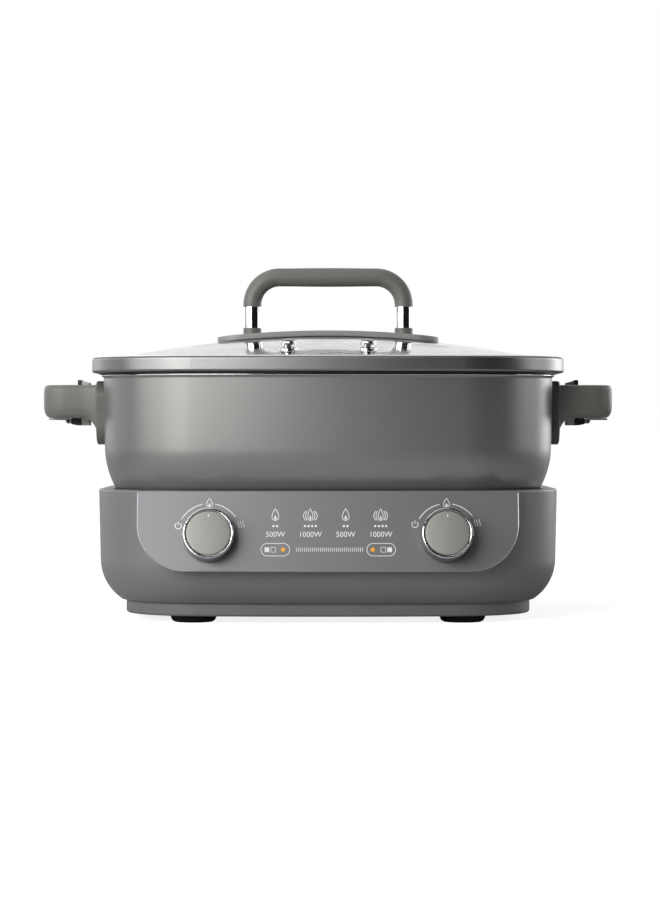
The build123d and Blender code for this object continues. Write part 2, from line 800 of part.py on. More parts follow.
def side_handle():
    """Left D-shaped loop: one outer bar, two limbs and a flare where each limb meets the plate."""
    root = escutcheon_face(handle_bottom)
    half = handle_half_length
    tip = half - handle_taper
    outline = make_face(
        Polyline((-root, -half), (-handle_reach, -tip), (-handle_reach, tip), (-root, half), close=True)
    )
    outline = fillet(outline.vertices().group_by(Axis.X)[0], handle_corner)
    loop = extrude(Pos(0, 0, handle_bottom) * outline, handle_top - handle_bottom)
    tip_faces = loop.faces().filter_by(Axis.Z)
    outer_edges = tip_faces.edges().filter_by(lambda edge: edge.center().X < -root - 1)
    loop = fillet(outer_edges, handle_edge)
    flare = make_face(
        Curve()
        + [
            Line((-root, handle_bottom + 1), (-root - root_flare, handle_bottom + 1)),
            Line((-root - root_flare, handle_bottom + 1), (-root - root_flare, handle_bottom)),
            ThreePointArc(
                (-root - root_flare, handle_bottom),
                (-root - root_flare * 0.3, handle_bottom - root_flare * 0.3),
                (-root, handle_bottom - root_flare),
            ),
            Line((-root, handle_bottom - root_flare), (-root, handle_bottom + 1)),
        ]
    )
    flare = extrude(Plane.XZ * flare, half - handle_edge, both=True)
    loop += flare
    window_x = (-root - (handle_reach - handle_bar)) / 2
    window_length = handle_reach - handle_bar - root
    window = Box(window_length + 0.02, 2 * (half - handle_bar), 3 * (handle_top - handle_bottom))
    window = fillet(window.edges().filter_by(Axis.Z).group_by(Axis.X)[0], handle_corner - handle_bar)
    loop -= Pos(window_x, 0, (handle_bottom + handle_top) / 2) * window
    middle = (escutcheon_top + escutcheon_bottom) / 2
    lean = math.radians(pot_draft)
    face_plane = Plane(
        origin=(-escutcheon_face(middle), 0, middle), z_dir=(-math.cos(lean), 0, -math.sin(lean))
    )
    return split(loop, bisect_by=face_plane, keep=Keep.TOP)


def handle_rivets():
    """Rivets through the wall into the plates, their heads inside the pot."""
    inside = wall_x(rivet_z) - pot_wall
    rivets = []
    for side in (-1, 1):
        for y in (-rivet_y, rivet_y):
            place = Pos(side * inside, y, rivet_z) * Rot(0, -side * 90, 0)
            reach = pot_wall + rivet_grip - 0.5
            section = [
                (0, -reach),
                (rivet_radius, -reach),
                (rivet_radius, 0.1),
                (rivet_head, 0.1),
                (rivet_head * 0.8, 1.4),
                (0, 2.0),
            ]
            rivets.append(spun(section, place))
    return Compound(rivets)


# ------------------------------------------------------------------ release levers
def hinge_strip():
    """Bright strip under the left grip with two ears that hold the lever's pin."""
    low = handle_bottom - hinge_strip_thickness
    strip_end = handle_reach - hinge_strip_inset
    strip = Pos(-(lever_pivot_x + strip_end) / 2, 0, handle_bottom - hinge_strip_thickness / 2) * Box(
        strip_end - lever_pivot_x, 2 * lever_half_width, hinge_strip_thickness
    )
    for side in (-1, 1):
        middle = side * (knuckle_half + lever_half_width) / 2 + side * 0.1
        width = lever_half_width - knuckle_half - 0.2
        ear = Pos(-lever_pivot_x, middle, lever_pivot_z) * Rot(90, 0, 0) * Cylinder(knuckle_radius, width)
        root = Pos(-lever_pivot_x - knuckle_radius / 2, middle, (low + lever_pivot_z) / 2) * Box(
            knuckle_radius, width, low - lever_pivot_z + 0.2
        )
        strip += ear + root
    strip -= Pos(-lever_pivot_x, 0, lever_pivot_z) * Rot(90, 0, 0) * Cylinder(lever_pin_radius + hole_fit, CUT / 10)
    gap = 2 * (knuckle_half + 0.1)
    strip -= Pos(-lever_pivot_x, 0, lever_pivot_z) * Box(2 * knuckle_radius + 1, gap, 2 * knuckle_radius + 1)
    return strip


def lever_pin():
    """Hinge pin of the left lever."""
    return Pos(-lever_pivot_x, 0, lever_pivot_z) * Rot(90, 0, 0) * Cylinder(lever_pin_radius, 2 * lever_half_width)


def release_lever():
    """Dark squeeze lever: a tall web in the finger gap and a foot that curls out to its hinge."""
    inner = lever_outer - lever_skin
    web = make_face(
        Curve()
        + [
            Line((-inner, lever_bottom), (-inner, lever_top)),
            Line((-inner, lever_top), (-lever_outer, lever_top)),
            Line((-lever_outer, lever_top), (-lever_outer, lever_pivot_z + 4)),
            Line((-lever_outer, lever_pivot_z + 4), (-lever_pivot_x + 1, lever_pivot_z + 1.6)),
            Line((-lever_pivot_x + 1, lever_pivot_z + 1.6), (-lever_pivot_x + 1, lever_pivot_z - 1.8)),
            ThreePointArc(
                (-lever_pivot_x + 1, lever_pivot_z - 1.8),
                (-lever_outer - 1.6, lever_bottom + 0.3),
                (-inner, lever_bottom),
            ),
        ]
    )
    upper = extrude(Plane.XZ * web, lever_half_width, both=True)
    upper -= Pos(-lever_pivot_x, 0, lever_pivot_z) * Box(
        2 * (knuckle_radius + seat_gap), 3 * lever_half_width, 2 * (knuckle_radius + 2)
    )
    knuckle = Pos(-lever_pivot_x, 0, lever_pivot_z) * Rot(90, 0, 0) * Cylinder(knuckle_radius, 2 * knuckle_half)
    link_length = lever_pivot_x - lever_outer - knuckle_radius / 2
    link = Pos(-(lever_pivot_x + lever_outer) / 2, 0, lever_pivot_z) * Box(
        link_length + knuckle_radius, 2 * knuckle_half, knuckle_radius
    )
    lever = upper + knuckle + link
    bore = Cylinder(lever_pin_radius + hole_fit, CUT / 10)
    return lever - Pos(-lever_pivot_x, 0, lever_pivot_z) * Rot(90, 0, 0) * bore


def lever_clip():
    """Bright block on the lever's inner side, sloped on top, with the catch that enters the plate."""
    outer = lever_outer - lever_skin
    inner = outer - clip_depth
    section = make_face(
        Polyline(
            (-outer, lever_bottom),
            (-inner, lever_bottom),
            (-inner, lever_top - 2.2),
            (-outer, lever_top - 0.4),
            close=True,
        )
    )
    block = extrude(Plane.XZ * section, lever_half_width - clip_inset, both=True)
    block = fillet(block.edges().filter_by(Axis.Z), clip_inset)
    tip = escutcheon_face(catch_z) - catch_bite
    catch = Pos(-(inner + tip) / 2, 0, catch_z) * Box(inner - tip + 1, 2 * catch_half_width, catch_height)
    return block + catch


# ------------------------------------------------------------------ lid
def glass_surface():
    """Dome that is level along its rounded edge: a fourth-degree patch from two short rules."""
    half_width = pot_width / 2 + lid_overhang
    half_depth = pot_depth / 2 + lid_overhang
    crown = (0, 1, 4 / 3, 1, 0)
    corner = (0, 1, -4 / 3, 1, 0)
    rows = []
    for i in range(5):
        row = []
        for j in range(5):
            rise = crown[i] * crown[j] - glass_corner_fall * corner[i] * corner[j]
            x = half_width * (i - 2) / 2
            y = half_depth * (j - 2) / 2
            row.append((x, y, glass_edge_level + glass_rise * rise))
        rows.append(row)
    return Face.make_bezier_surface(rows)


def glass_block(grow, below, above):
    """The dome as a curved slab between two heights from its top surface."""
    sheet = Pos(0, 0, above) * glass_surface()
    slab = extrude(sheet, below + above, dir=(0, 0, -1))
    return slab & prism(lid_overhang - rim_wall + grow, rim_bottom - 40, bridge_crown)


def glass_height(x, y):
    """Level of the dome's top surface at a point in plan."""
    u = (x / (pot_width / 2 + lid_overhang)) ** 2
    v = (y / (pot_depth / 2 + lid_overhang)) ** 2
    return glass_edge_level + glass_rise * (1 - u) * (1 - v) * (1 - glass_corner_fall * u * v)


def over_glass(point):
    """How high a point is over the dome's top surface."""
    return point.Z - glass_height(point.X, point.Y)


def vent_frame():
    """A plane on the glass at the left steam vent, square to the glass."""
    step = 0.5
    slope_x = (glass_height(-vent_x + step, -vent_y) - glass_height(-vent_x - step, -vent_y)) / (2 * step)
    slope_y = (glass_height(-vent_x, -vent_y + step) - glass_height(-vent_x, -vent_y - step)) / (2 * step)
    place = (-vent_x, -vent_y, glass_height(-vent_x, -vent_y))
    return Plane(origin=place, x_dir=(1, 0, slope_x), z_dir=(-slope_x, -slope_y, 1))


def lid_glass():
    """Tempered glass dome with holes for the studs and vents."""
    glass = glass_block(-glass_gap, glass_thickness, 0)
    for side in (-1, 1):
        glass -= Pos(side * post_x, 0, glass_height(post_x, 0)) * Cylinder(stud_radius + seat_gap, CUT / 8)
    hole = vent_frame().location * Cylinder(vent_neck + hole_fit, CUT / 10)
    return glass - hole - mirrored(hole)


def lid_rim():
    """Band round the glass, lapping over its edge."""
    band_block = prism(lid_overhang, rim_bottom, rim_top)
    band_block = fillet(band_block.edges().group_by(Axis.Z)[-1], rim_edge)
    band_block = fillet(band_block.edges().group_by(Axis.Z)[0], rim_edge)
    opening = lid_overhang - rim_wall - rim_lip
    rim = band_block - prism(opening, rim_bottom - 1, rim_top + 1)
    return rim - glass_block(0, glass_thickness + glass_gap, glass_gap)


def lid_gasket():
    """Soft seal under the rim: a flat ring on the pot's lip and a skirt just inside its wall."""
    skirt_outer = -pot_wall - gasket_gap
    skirt_inner = skirt_outer - gasket_skirt
    seal = ring(gasket_lap, skirt_inner, pot_rim, rim_bottom)
    return seal + ring(skirt_outer, skirt_inner, pot_rim - gasket_drop, rim_bottom)


def steam_vent():
    """Turned bright vent: flange, waist and cap above the glass, tail and collar below it."""
    waist = vent_neck - 0.8
    section = [
        (vent_bore, -glass_thickness - vent_tail),
        (vent_neck + 1.6, -glass_thickness - vent_tail),
        (vent_neck + 1.6, -glass_thickness - 0.2),
        (vent_neck, -glass_thickness - 0.2),
        (vent_neck, 0.15),
        (vent_flange, 0.15),
        (vent_flange - 0.4, 1.2),
        (vent_neck, 1.7),
        (waist, 2.4),
        (waist, vent_height - 3.2),
        (vent_cap, vent_height - 2.6),
        (vent_cap, vent_height - 1.0),
        (vent_cap - 1.0, vent_height),
        (vent_bore, vent_height),
    ]
    return spun(section, vent_frame().location)


def bridge_top(x):
    """Level of the bridge's arched top."""
    return bridge_crown - bridge_radius + math.sqrt(bridge_radius**2 - x**2)


def lid_bridge():
    """Arched carrier plate that lies on the glass under the grip."""
    outline = RectangleRounded(2 * bridge_half_length, 2 * bridge_half_width, bridge_half_width - 0.5)
    block = extrude(Pos(0, 0, bridge_crown - 20) * outline, 30)
    arch = Pos(0, 0, bridge_crown - bridge_radius) * Rot(90, 0, 0) * Cylinder(bridge_radius, 3 * bridge_half_width)
    block &= arch
    block -= glass_block(0, CUT / 10, 0.15)
    block = fillet(block.edges().filter_by(lambda edge: over_glass(edge.center()) > bridge_seat), bridge_edge)
    for side in (-1, 1):
        block -= Pos(side * post_x, 0, bridge_crown) * Cylinder(stud_radius + hole_fit, CUT / 8)
    return block


def collar():
    """Grey spacer between the bridge and the left post."""
    low = bridge_top(post_x + collar_radius) - 0.5
    body = Pos(-post_x, 0, (low + post_bottom) / 2) * Cylinder(collar_radius, post_bottom - low)
    body = fillet(body.edges().group_by(Axis.Z)[-1], 0.6)
    body -= Pos(0, 0, bridge_crown - bridge_radius) * Rot(90, 0, 0) * Cylinder(bridge_radius + hole_fit, CUT / 4)
    return body - Pos(-post_x, 0, post_bottom) * Cylinder(stud_radius + hole_fit, CUT / 8)


def grip_post():
    """Bright post with a spigot up into the grip and a hole for the stud."""
    section = [
        (0, post_bottom),
        (post_radius, post_bottom),
        (post_radius, post_top),
        (spigot_radius, post_top),
        (spigot_radius, post_top + spigot_length),
        (0, post_top + spigot_length),
    ]
    post = spun(section, Pos(-post_x, 0, 0))
    return post - rod(stud_radius + hole_fit, (-post_x, 0, post_bottom - 1), (-post_x, 0, post_top))


def lid_grip():
    """Round bar bent into a wide arch."""
    path = FilletPolyline(
        (-post_x, 0, post_top),
        (-post_x, 0, grip_axis_level),
        (post_x, 0, grip_axis_level),
        (post_x, 0, post_top),
        radius=grip_bend,
    )
    bar = sweep(Pos(-post_x, 0, post_top) * Circle(grip_radius), path)
    straight = post_x - grip_bend
    barrel = make_face(
        Curve()
        + [
            Line((-straight, 0), (straight, 0)),
            Line((straight, 0), (straight, grip_radius)),
            Spline(
                (straight, grip_radius),
                (0, grip_radius + grip_swell),
                (-straight, grip_radius),
                tangents=((-1, 0), (-1, 0)),
            ),
            Line((-straight, grip_radius), (-straight, 0)),
        ]
    )
    bar += Pos(0, 0, grip_axis_level) * revolve(barrel, Axis.X)
    for side in (-1, 1):
        bar -= Pos(side * post_x, 0, post_top) * Cylinder(spigot_radius + hole_fit, 2 * (spigot_length + 0.5))
    return bar


def lid_stud():
    """Dome-headed stud from under the glass up into the left post."""
    seat = glass_height(post_x, 0) - glass_thickness - washer_thickness - 0.2
    tip = post_top - 1
    section = [
        (0, seat - stud_head_height),
        (stud_head_radius * 0.6, seat - stud_head_height * 0.95),
        (stud_head_radius * 0.9, seat - stud_head_height * 0.65),
        (stud_head_radius, seat - stud_head_height * 0.3),
        (stud_head_radius, seat),
        (stud_radius, seat),
        (stud_radius, tip),
        (0, tip),
    ]
    return spun(section, Pos(-post_x, 0, 0))


def glass_washer():
    """Soft washer between the stud's head and the glass."""
    seat = glass_height(post_x, 0) - glass_thickness - washer_thickness - 0.2
    washer = Pos(-post_x, 0, seat + washer_thickness) * Cylinder(washer_radius, 2 * washer_thickness)
    washer -= glass_block(0, glass_thickness + hole_fit, 1)
    washer -= Pos(-post_x, 0, seat) * Cylinder(stud_radius + hole_fit, CUT / 8)
    return washer


# ------------------------------------------------------------------ the whole part
def both(name, maker):
    """A left-hand piece and its right-hand twin."""
    left = maker()
    return {name + "_left": left, name + "_right": mirrored(left)}


def pair(maker):
    """Two small identical pieces in one node."""
    left = maker()
    return Compound([left, mirrored(left)])


def make_pieces():
    """Every node by name."""
    pieces = {
        "base_housing": base_housing(),
        "base_bottom_cover": base_bottom_cover(),
        "control_panel": control_panel(),
        "rubber_feet": rubber_feet(),
        "cover_screws": cover_screws(),
        "power_inlet": power_inlet(),
        "inlet_pins": inlet_pins(),
        "terminal_block": terminals(),
        "control_board": control_board(),
        "thermal_fuses": pair(thermal_fuse),
        "switch_nuts": pair(switch_nut),
        "pot_vessel": pot_vessel(),
        "handle_rivets": handle_rivets(),
        "lid_glass": lid_glass(),
        "lid_rim": lid_rim(),
        "lid_gasket": lid_gasket(),
        "lid_bridge": lid_bridge(),
        "lid_grip": lid_grip(),
        "lid_studs": pair(lid_stud),
        "glass_washers": pair(glass_washer),
    }
    pieces |= both("heat_pan", heat_pan)
    pieces |= both("heating_plate", heating_plate)
    pieces |= both("heating_element", heating_element)
    pieces |= both("temperature_sensor", temperature_sensor)
    pieces |= both("rotary_switch", rotary_switch)
    pieces |= both("indicator", indicator)
    pieces |= both("knob_body", knob_body)
    pieces |= both("knob_ring", knob_ring)
    pieces |= both("knob_cap", knob_cap)
    pieces |= both("knob_shaft", knob_shaft)
    pieces |= both("handle_plate", escutcheon)
    pieces |= both("side_handle", side_handle)
    pieces |= both("hinge_strip", hinge_strip)
    pieces |= both("lever_pin", lever_pin)
    pieces |= both("release_lever", release_lever)
    pieces |= both("lever_clip", lever_clip)
    pieces |= both("steam_vent", steam_vent)
    pieces |= both("grip_collar", collar)
    pieces |= both("grip_post", grip_post)
    return pieces


pieces = make_pieces()
reach = Compound([pieces["lid_rim"], pieces["knob_ring_left"], pieces["knob_cap_left"]]).bounding_box()
frame_shift = -(reach.min.Y + reach.max.Y) / 2  # puts the origin under the middle of the whole part

os.makedirs("parts", exist_ok=True)
for name, piece in pieces.items():
    export_step(Pos(0, frame_shift, 0) * piece, f"parts/{name}.step")
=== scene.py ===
# %% [markdown]
# # Dressing an electric hot pot
#
# The object is a two-zone table cooker: a heated plastic base with two knobs, a coated cast pot that
# lifts off, and a glass lid with an arched grip. The solids already exist as a frame that must not move.
# This lesson gives each solid its finish, and makes in finer form what a coarse solid can't show: the
# lined pot, the soft grip, the knob faces and the printed marks. Lengths are written in millimetres,
# measured from the pot's middle at table height.

# %% Load the frame
import math

import bmesh
import bpy
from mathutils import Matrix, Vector
from mathutils.bvhtree import BVHTree


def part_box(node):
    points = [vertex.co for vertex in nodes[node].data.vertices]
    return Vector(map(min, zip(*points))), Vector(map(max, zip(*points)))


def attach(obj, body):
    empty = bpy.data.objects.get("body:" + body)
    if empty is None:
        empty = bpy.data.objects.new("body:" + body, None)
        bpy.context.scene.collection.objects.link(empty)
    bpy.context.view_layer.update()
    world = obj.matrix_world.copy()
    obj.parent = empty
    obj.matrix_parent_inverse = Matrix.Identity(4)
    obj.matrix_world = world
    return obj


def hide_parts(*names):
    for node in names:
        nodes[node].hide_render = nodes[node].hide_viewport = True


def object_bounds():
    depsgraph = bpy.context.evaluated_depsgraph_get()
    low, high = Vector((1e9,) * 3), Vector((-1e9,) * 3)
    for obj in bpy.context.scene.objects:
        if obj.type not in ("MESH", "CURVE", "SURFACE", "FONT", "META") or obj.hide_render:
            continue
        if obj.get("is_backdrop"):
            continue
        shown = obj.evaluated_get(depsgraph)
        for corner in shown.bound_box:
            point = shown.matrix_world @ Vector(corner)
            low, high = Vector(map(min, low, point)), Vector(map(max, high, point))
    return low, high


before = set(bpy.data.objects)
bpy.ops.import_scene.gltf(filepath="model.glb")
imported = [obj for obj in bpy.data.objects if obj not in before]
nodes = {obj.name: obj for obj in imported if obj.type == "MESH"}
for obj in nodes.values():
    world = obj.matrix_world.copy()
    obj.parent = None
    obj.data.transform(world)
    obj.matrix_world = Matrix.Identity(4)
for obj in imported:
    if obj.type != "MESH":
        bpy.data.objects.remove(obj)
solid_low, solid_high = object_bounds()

# %% [markdown]
# ## The pot's middle
#
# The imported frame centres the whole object, knobs included, so the pot's own middle lies a little behind
# the origin. The side handles are symmetric about it, so it can be read from one of them instead of being
# typed in.

# %% Find the pot's middle
handle_low, handle_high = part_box("side_handle_left")
pot_middle = (handle_low.y + handle_high.y) / 2 * 1000


def metres(x, y, z):
    """A point measured from the pot's middle, in the frame."""
    return Vector((x, y + pot_middle, z)) / 1000


print("the pot's middle is at y =", round(pot_middle, 2), "mm")

# %% [markdown]
# ## Camera
#
# A product picture of this kind is taken from far away with a long lens, a little above the table, so
# that verticals stay vertical. The camera looks level along +Y, and a small shift places the object in
# the frame instead of a tilt, which would make the pot's walls converge.

# %% Place the camera
camera_distance = 2200.0
camera_height = 145.5
camera_data = bpy.data.cameras.new("long_lens")
camera_data.lens = 114.4
camera_data.sensor_width = 36.0
picture_height = 900
camera_data.shift_x = 2 / picture_height
camera_data.shift_y = -26 / picture_height
camera = bpy.data.objects.new("camera", camera_data)
camera.location = metres(0, -camera_distance, camera_height)
camera.rotation_euler = (math.radians(90), 0, 0)
bpy.context.scene.collection.objects.link(camera)
bpy.context.scene.camera = camera
bpy.context.scene.view_settings.view_transform = "Standard"
print("camera at", tuple(round(v, 4) for v in camera.location))

# %% [markdown]
# ## Writing shader maths as expressions
#
# A material is a small calculation that runs at each point of a surface. Node by node it is hard to read,
# so one class wraps an output socket: adding or multiplying two of them adds the Math node, and `node`
# adds any other kind. The same class builds Geometry Nodes further down, because a node tree is a node
# tree.


# %% Wrap a socket so that arithmetic adds nodes
class Signal:
    """One output of a node, which arithmetic and node() can build on."""

    def __init__(self, tree, socket):
        self.tree = tree
        self.socket = socket

    def node(self, kind, settings=None, output=0, **inputs):
        made = self.tree.nodes.new(kind)
        for name, value in (settings or {}).items():
            if name == "stops":
                for index, (place, colour) in enumerate(value):
                    stops = made.color_ramp.elements
                    stop = stops[index] if index < len(stops) else stops.new(place)
                    stop.position = place
                    stop.color = colour
            else:
                setattr(made, name, value)
        for name, value in inputs.items():
            socket = next(s for s in made.inputs if name in (s.identifier, s.name.replace(" ", "_")))
            if isinstance(value, Signal):
                self.tree.links.new(value.socket, socket)
            else:
                socket.default_value = value
        return Signal(self.tree, made.outputs[output])

    def math(self, operation, first, second=0.0):
        return self.node("ShaderNodeMath", {"operation": operation}, Value=first, Value_001=second)

    def __add__(self, other):
        return self.math("ADD", self, other)

    def __sub__(self, other):
        return self.math("SUBTRACT", self, other)

    def __rsub__(self, other):
        return self.math("SUBTRACT", other, self)

    def __mul__(self, other):
        return self.math("MULTIPLY", self, other)

    def step(self, low, high):
        """0 below low, 1 above high, and a soft ramp between."""
        smooth = {"interpolation_type": "SMOOTHSTEP"}
        return self.node("ShaderNodeMapRange", smooth, Value=self, From_Min=low, From_Max=high)

    def mix(self, low, high):
        """A colour between two, by this value."""
        colours = {"data_type": "RGBA"}
        return self.node("ShaderNodeMix", colours, output=2, Factor_Float=self, A_Color=low, B_Color=high)

    def noise(self, scale, detail=2.0, roughness=0.5):
        """Cloudy noise at a scale in cells a metre."""
        return self.node("ShaderNodeTexNoise", Vector=self, Scale=scale, Detail=detail, Roughness=roughness)

    def bump(self, distance, strength=1.0):
        """A surface normal whose height is this value, in metres."""
        return self.node("ShaderNodeBump", Height=self, Distance=distance, Strength=strength)


def rgb(red, green, blue):
    """A colour written in the display's 0 to 255, as the linear values that Blender works in."""
    linear = []
    for value in (red, green, blue):
        share = value / 255
        linear.append(share / 12.92 if share <= 0.04045 else ((share + 0.055) / 1.055) ** 2.4)
    return (*linear, 1.0)


def scaled(colour, factor):
    """The same hue, darker or lighter."""
    return tuple(min(1.0, value * factor) for value in colour[:3]) + (1.0,)


def new_material(name, **constants):
    """A material with its constant sockets set, its shader, and a signal of the object's own coordinates."""
    material = bpy.data.materials.new(name)
    material.use_nodes = True
    tree = material.node_tree
    shader = tree.nodes["Principled BSDF"]
    for key, value in constants.items():
        shader.inputs[key.replace("_", " ")].default_value = value
    place = tree.nodes.new("ShaderNodeTexCoord")
    return material, shader, Signal(tree, place.outputs["Object"])


def feed(shader, **signals):
    """Links what varies over the surface to the shader."""
    for key, signal in signals.items():
        signal.tree.links.new(signal.socket, shader.inputs[key.replace("_", " ")])


print("shader helpers ready")

# %% [markdown]
# ## Moulded plastic
#
# The bottom cover, the handles and the small fittings are bare injection moulded plastic, whose mould was
# spark-eroded to a fine matt grain. Seen close, the grain is a field of shallow pits a third of a
# millimetre across; from arm's length it only spreads the highlight. So: a cell-like bump, a slow drift
# of the grey, and a shine that varies from speck to speck.


# %% Moulded plastic
def moulded_plastic(name, colour, roughness, grain=0.00003):
    """Plastic with a spark-eroded grain, whose depth is in metres."""
    material, shader, place = new_material(name, Specular_IOR_Level=0.5)
    drift = place.noise(9.0, 3.0)
    speck = place.noise(1900.0, 2.0)
    cells = {"Vector": place, "Scale": 2600.0, "Smoothness": 0.6}
    pits = place.node("ShaderNodeTexVoronoi", {"feature": "SMOOTH_F1"}, **cells)
    tone = (drift * 0.7 + speck * 0.3).step(0.25, 0.75)
    feed(shader, Base_Color=tone.mix(scaled(colour, 0.92), scaled(colour, 1.07)))
    feed(shader, Roughness=speck * 0.08 + (roughness - 0.04))
    feed(shader, Normal=(pits * 0.6 + speck * 0.4).bump(grain, 0.5))
    return material


cover_grey = moulded_plastic("cover_grey_plastic", rgb(112, 113, 115), 0.5)
handle_grey = moulded_plastic("handle_grey_plastic", rgb(112, 113, 108), 0.42)
black_plastic = moulded_plastic("black_plastic", rgb(34, 34, 35), 0.45)
plate_grey = moulded_plastic("plate_grey_plastic", rgb(96, 97, 93), 0.38)
print("plastics:", cover_grey.name, handle_grey.name)

# %% [markdown]
# ## Metals
#
# Polished chrome shows the room and little else, so it needs only a trace of haze and hairlines. Stamped
# and cast parts inside the base are duller: mottled in colour and uneven in shine. The knob faces are
# turned on a lathe, and their hairlines run round the knob's own axis; that is left to a radial bump
# where the cap is made.


# %% Plated and cast metal
def plated_metal(name, colour, roughness, haze_roughness=0.04, hairlines=0.25):
    """Plated or polished metal: faint polishing haze and a few fine hairlines."""
    material, shader, place = new_material(name, Metallic=1.0)
    haze = place.noise(140.0, 4.0)
    stretch = {"Vector": place, "Vector_001": (300.0, 300.0, 6000.0)}
    stretched = place.node("ShaderNodeVectorMath", {"operation": "MULTIPLY"}, **stretch)
    feed(shader, Base_Color=haze.mix(scaled(colour, 0.94), colour))
    feed(shader, Roughness=haze.step(0.4, 0.8) * haze_roughness + roughness)
    feed(shader, Normal=stretched.noise(1.0).bump(0.000004, hairlines))
    return material


def cast_metal(name, colour, roughness):
    """Raw casting or stamped sheet: mottled grey, uneven shine."""
    material, shader, place = new_material(name, Metallic=1.0)
    mottle = place.noise(90.0, 6.0, 0.6)
    feed(shader, Base_Color=mottle.mix(scaled(colour, 0.75), colour))
    feed(shader, Roughness=mottle * 0.18 + roughness)
    feed(shader, Normal=place.noise(1200.0, 3.0).bump(0.00006, 0.5))
    return material


bright_chrome = plated_metal("bright_chrome", rgb(232, 233, 235), 0.06)
steel = plated_metal("bright_steel", rgb(200, 200, 198), 0.22)
pan_steel = cast_metal("stamped_steel", rgb(172, 171, 168), 0.3)
cast_grey = cast_metal("cast_aluminium", rgb(158, 158, 156), 0.42)
brass = plated_metal("contact_brass", rgb(205, 178, 110), 0.25)
skirt_metal = plated_metal("knob_skirt_metal", rgb(150, 151, 153), 0.16)
print("metals ready")

# %% [markdown]
# ## Sprayed coats, rubber and glass
#
# The pot's outside is sprayed with a satin grey that carries fine metal flake, so it darkens quickly as
# it turns away from the light, as metal does, yet has no mirror image. The base, its fascia and the lid's
# strap wear the same kind of coat with less flake. The pot's inside is a dark speckled non-stick coat.
# The glass is clear with a trace of green, and the feet are plain dull rubber.


# %% Coats
def satin_coat(name, colour, roughness, metallic, fleck=0.08, clear=0.0):
    """Sprayed coat with metallic flake, the faint orange peel of a film and, if any, a clear top coat."""
    material, shader, place = new_material(name, Coat_Weight=clear, Coat_Roughness=0.3)
    flake = place.noise(2400.0, 1.0)
    peel = place.noise(420.0, 2.0)
    drift = place.noise(7.0, 2.0)
    tone = (flake * 0.6 + drift * 0.4).step(0.25, 0.75)
    feed(shader, Base_Color=tone.mix(scaled(colour, 1 - fleck), scaled(colour, 1 + fleck)))
    feed(shader, Metallic=flake.step(0.45, 0.7) * 0.1 + (metallic - 0.05))
    feed(shader, Roughness=peel * 0.06 + (roughness - 0.03))
    feed(shader, Normal=peel.bump(0.00002, 0.3))
    return material


def speckled_lining(name):
    """Dark non-stick coat with a fine spatter of paler specks."""
    material, shader, place = new_material(name, Specular_IOR_Level=0.45)
    spatter = place.node("ShaderNodeTexVoronoi", {"feature": "F1"}, Vector=place, Scale=420.0)
    specks = 1.0 - spatter.step(0.10, 0.17)
    thin = place.noise(160.0, 2.0).step(0.5, 0.62)
    feed(shader, Base_Color=(specks * thin).mix(rgb(46, 46, 45), rgb(150, 149, 145)))
    feed(shader, Roughness=specks * 0.1 + 0.34)
    feed(shader, Normal=(place.noise(1800.0, 2.0) + specks * 0.3).bump(0.00001, 0.3))
    return material


def soft_rubber(name, colour, roughness):
    """Dull rubber or silicone: dusty, with a very shallow grain."""
    material, shader, place = new_material(name, Specular_IOR_Level=0.3)
    dust = place.noise(60.0, 5.0, 0.65)
    feed(shader, Base_Color=dust.step(0.35, 0.8).mix(colour, scaled(colour, 1.35)))
    feed(shader, Roughness=dust * 0.1 + roughness)
    feed(shader, Normal=place.noise(1500.0).bump(0.00003, 0.4))
    return material


pot_coat = satin_coat("pot_satin_coat", rgb(153, 154, 151), 0.37, 0.78, 0.05)
rim_steel = plated_metal("brushed_rim_steel", rgb(158, 159, 157), 0.36, 0.02, 0.05)
base_grey = satin_coat("base_satin_grey", rgb(126, 127, 129), 0.46, 0.28, 0.04, 0.3)
strap_grey = satin_coat("strap_satin_grey", rgb(150, 150, 150), 0.48, 0.25, 0.03)
pot_lining = speckled_lining("pot_speckled_lining")
foot_rubber = soft_rubber("foot_rubber", rgb(4, 4, 4), 0.85)
seal_silicone = soft_rubber("seal_silicone", rgb(46, 46, 47), 0.45)
clip_grey = moulded_plastic("clip_light_grey", rgb(188, 182, 180), 0.35)
bare_lip = plated_metal("bare_lip_metal", rgb(214, 214, 212), 0.12)
print("coats and rubbers ready")


# %% Glass, board and lamps
def clear_glass():
    """Tempered soda-lime glass, with a trace of green and the faintest waviness of the furnace."""
    material, shader, place = new_material("lid_glass", Transmission_Weight=1.0, IOR=1.46)
    wave = place.noise(18.0, 1.0)
    feed(shader, Base_Color=wave.mix(rgb(250, 252, 251), rgb(255, 255, 255)))
    feed(shader, Roughness=wave * 0.01)
    feed(shader, Normal=wave.bump(0.0001, 0.1))
    return material


def circuit_board():
    """Brown phenolic board with paler track lines."""
    material, shader, place = new_material("circuit_board", Specular_IOR_Level=0.4)
    colours = {"Color1": rgb(112, 78, 40), "Color2": rgb(98, 66, 34), "Mortar": rgb(140, 104, 60)}
    feed(shader, Base_Color=place.node("ShaderNodeTexBrick", Vector=place, Scale=160.0, **colours))
    feed(shader, Roughness=place.noise(300.0) * 0.2 + 0.35)
    return material


def lit_lens():
    """Amber light pipe, uneven as a small lamp behind cloudy plastic is."""
    material, shader, place = new_material("amber_lens", Emission_Strength=0.25)
    glow = place.noise(900.0, 1.0)
    feed(shader, Base_Color=glow.mix(rgb(214, 140, 30), rgb(240, 176, 60)))
    feed(shader, Emission_Color=glow.mix(rgb(224, 146, 36), rgb(255, 206, 110)))
    feed(shader, Roughness=glow * 0.1 + 0.2)
    return material


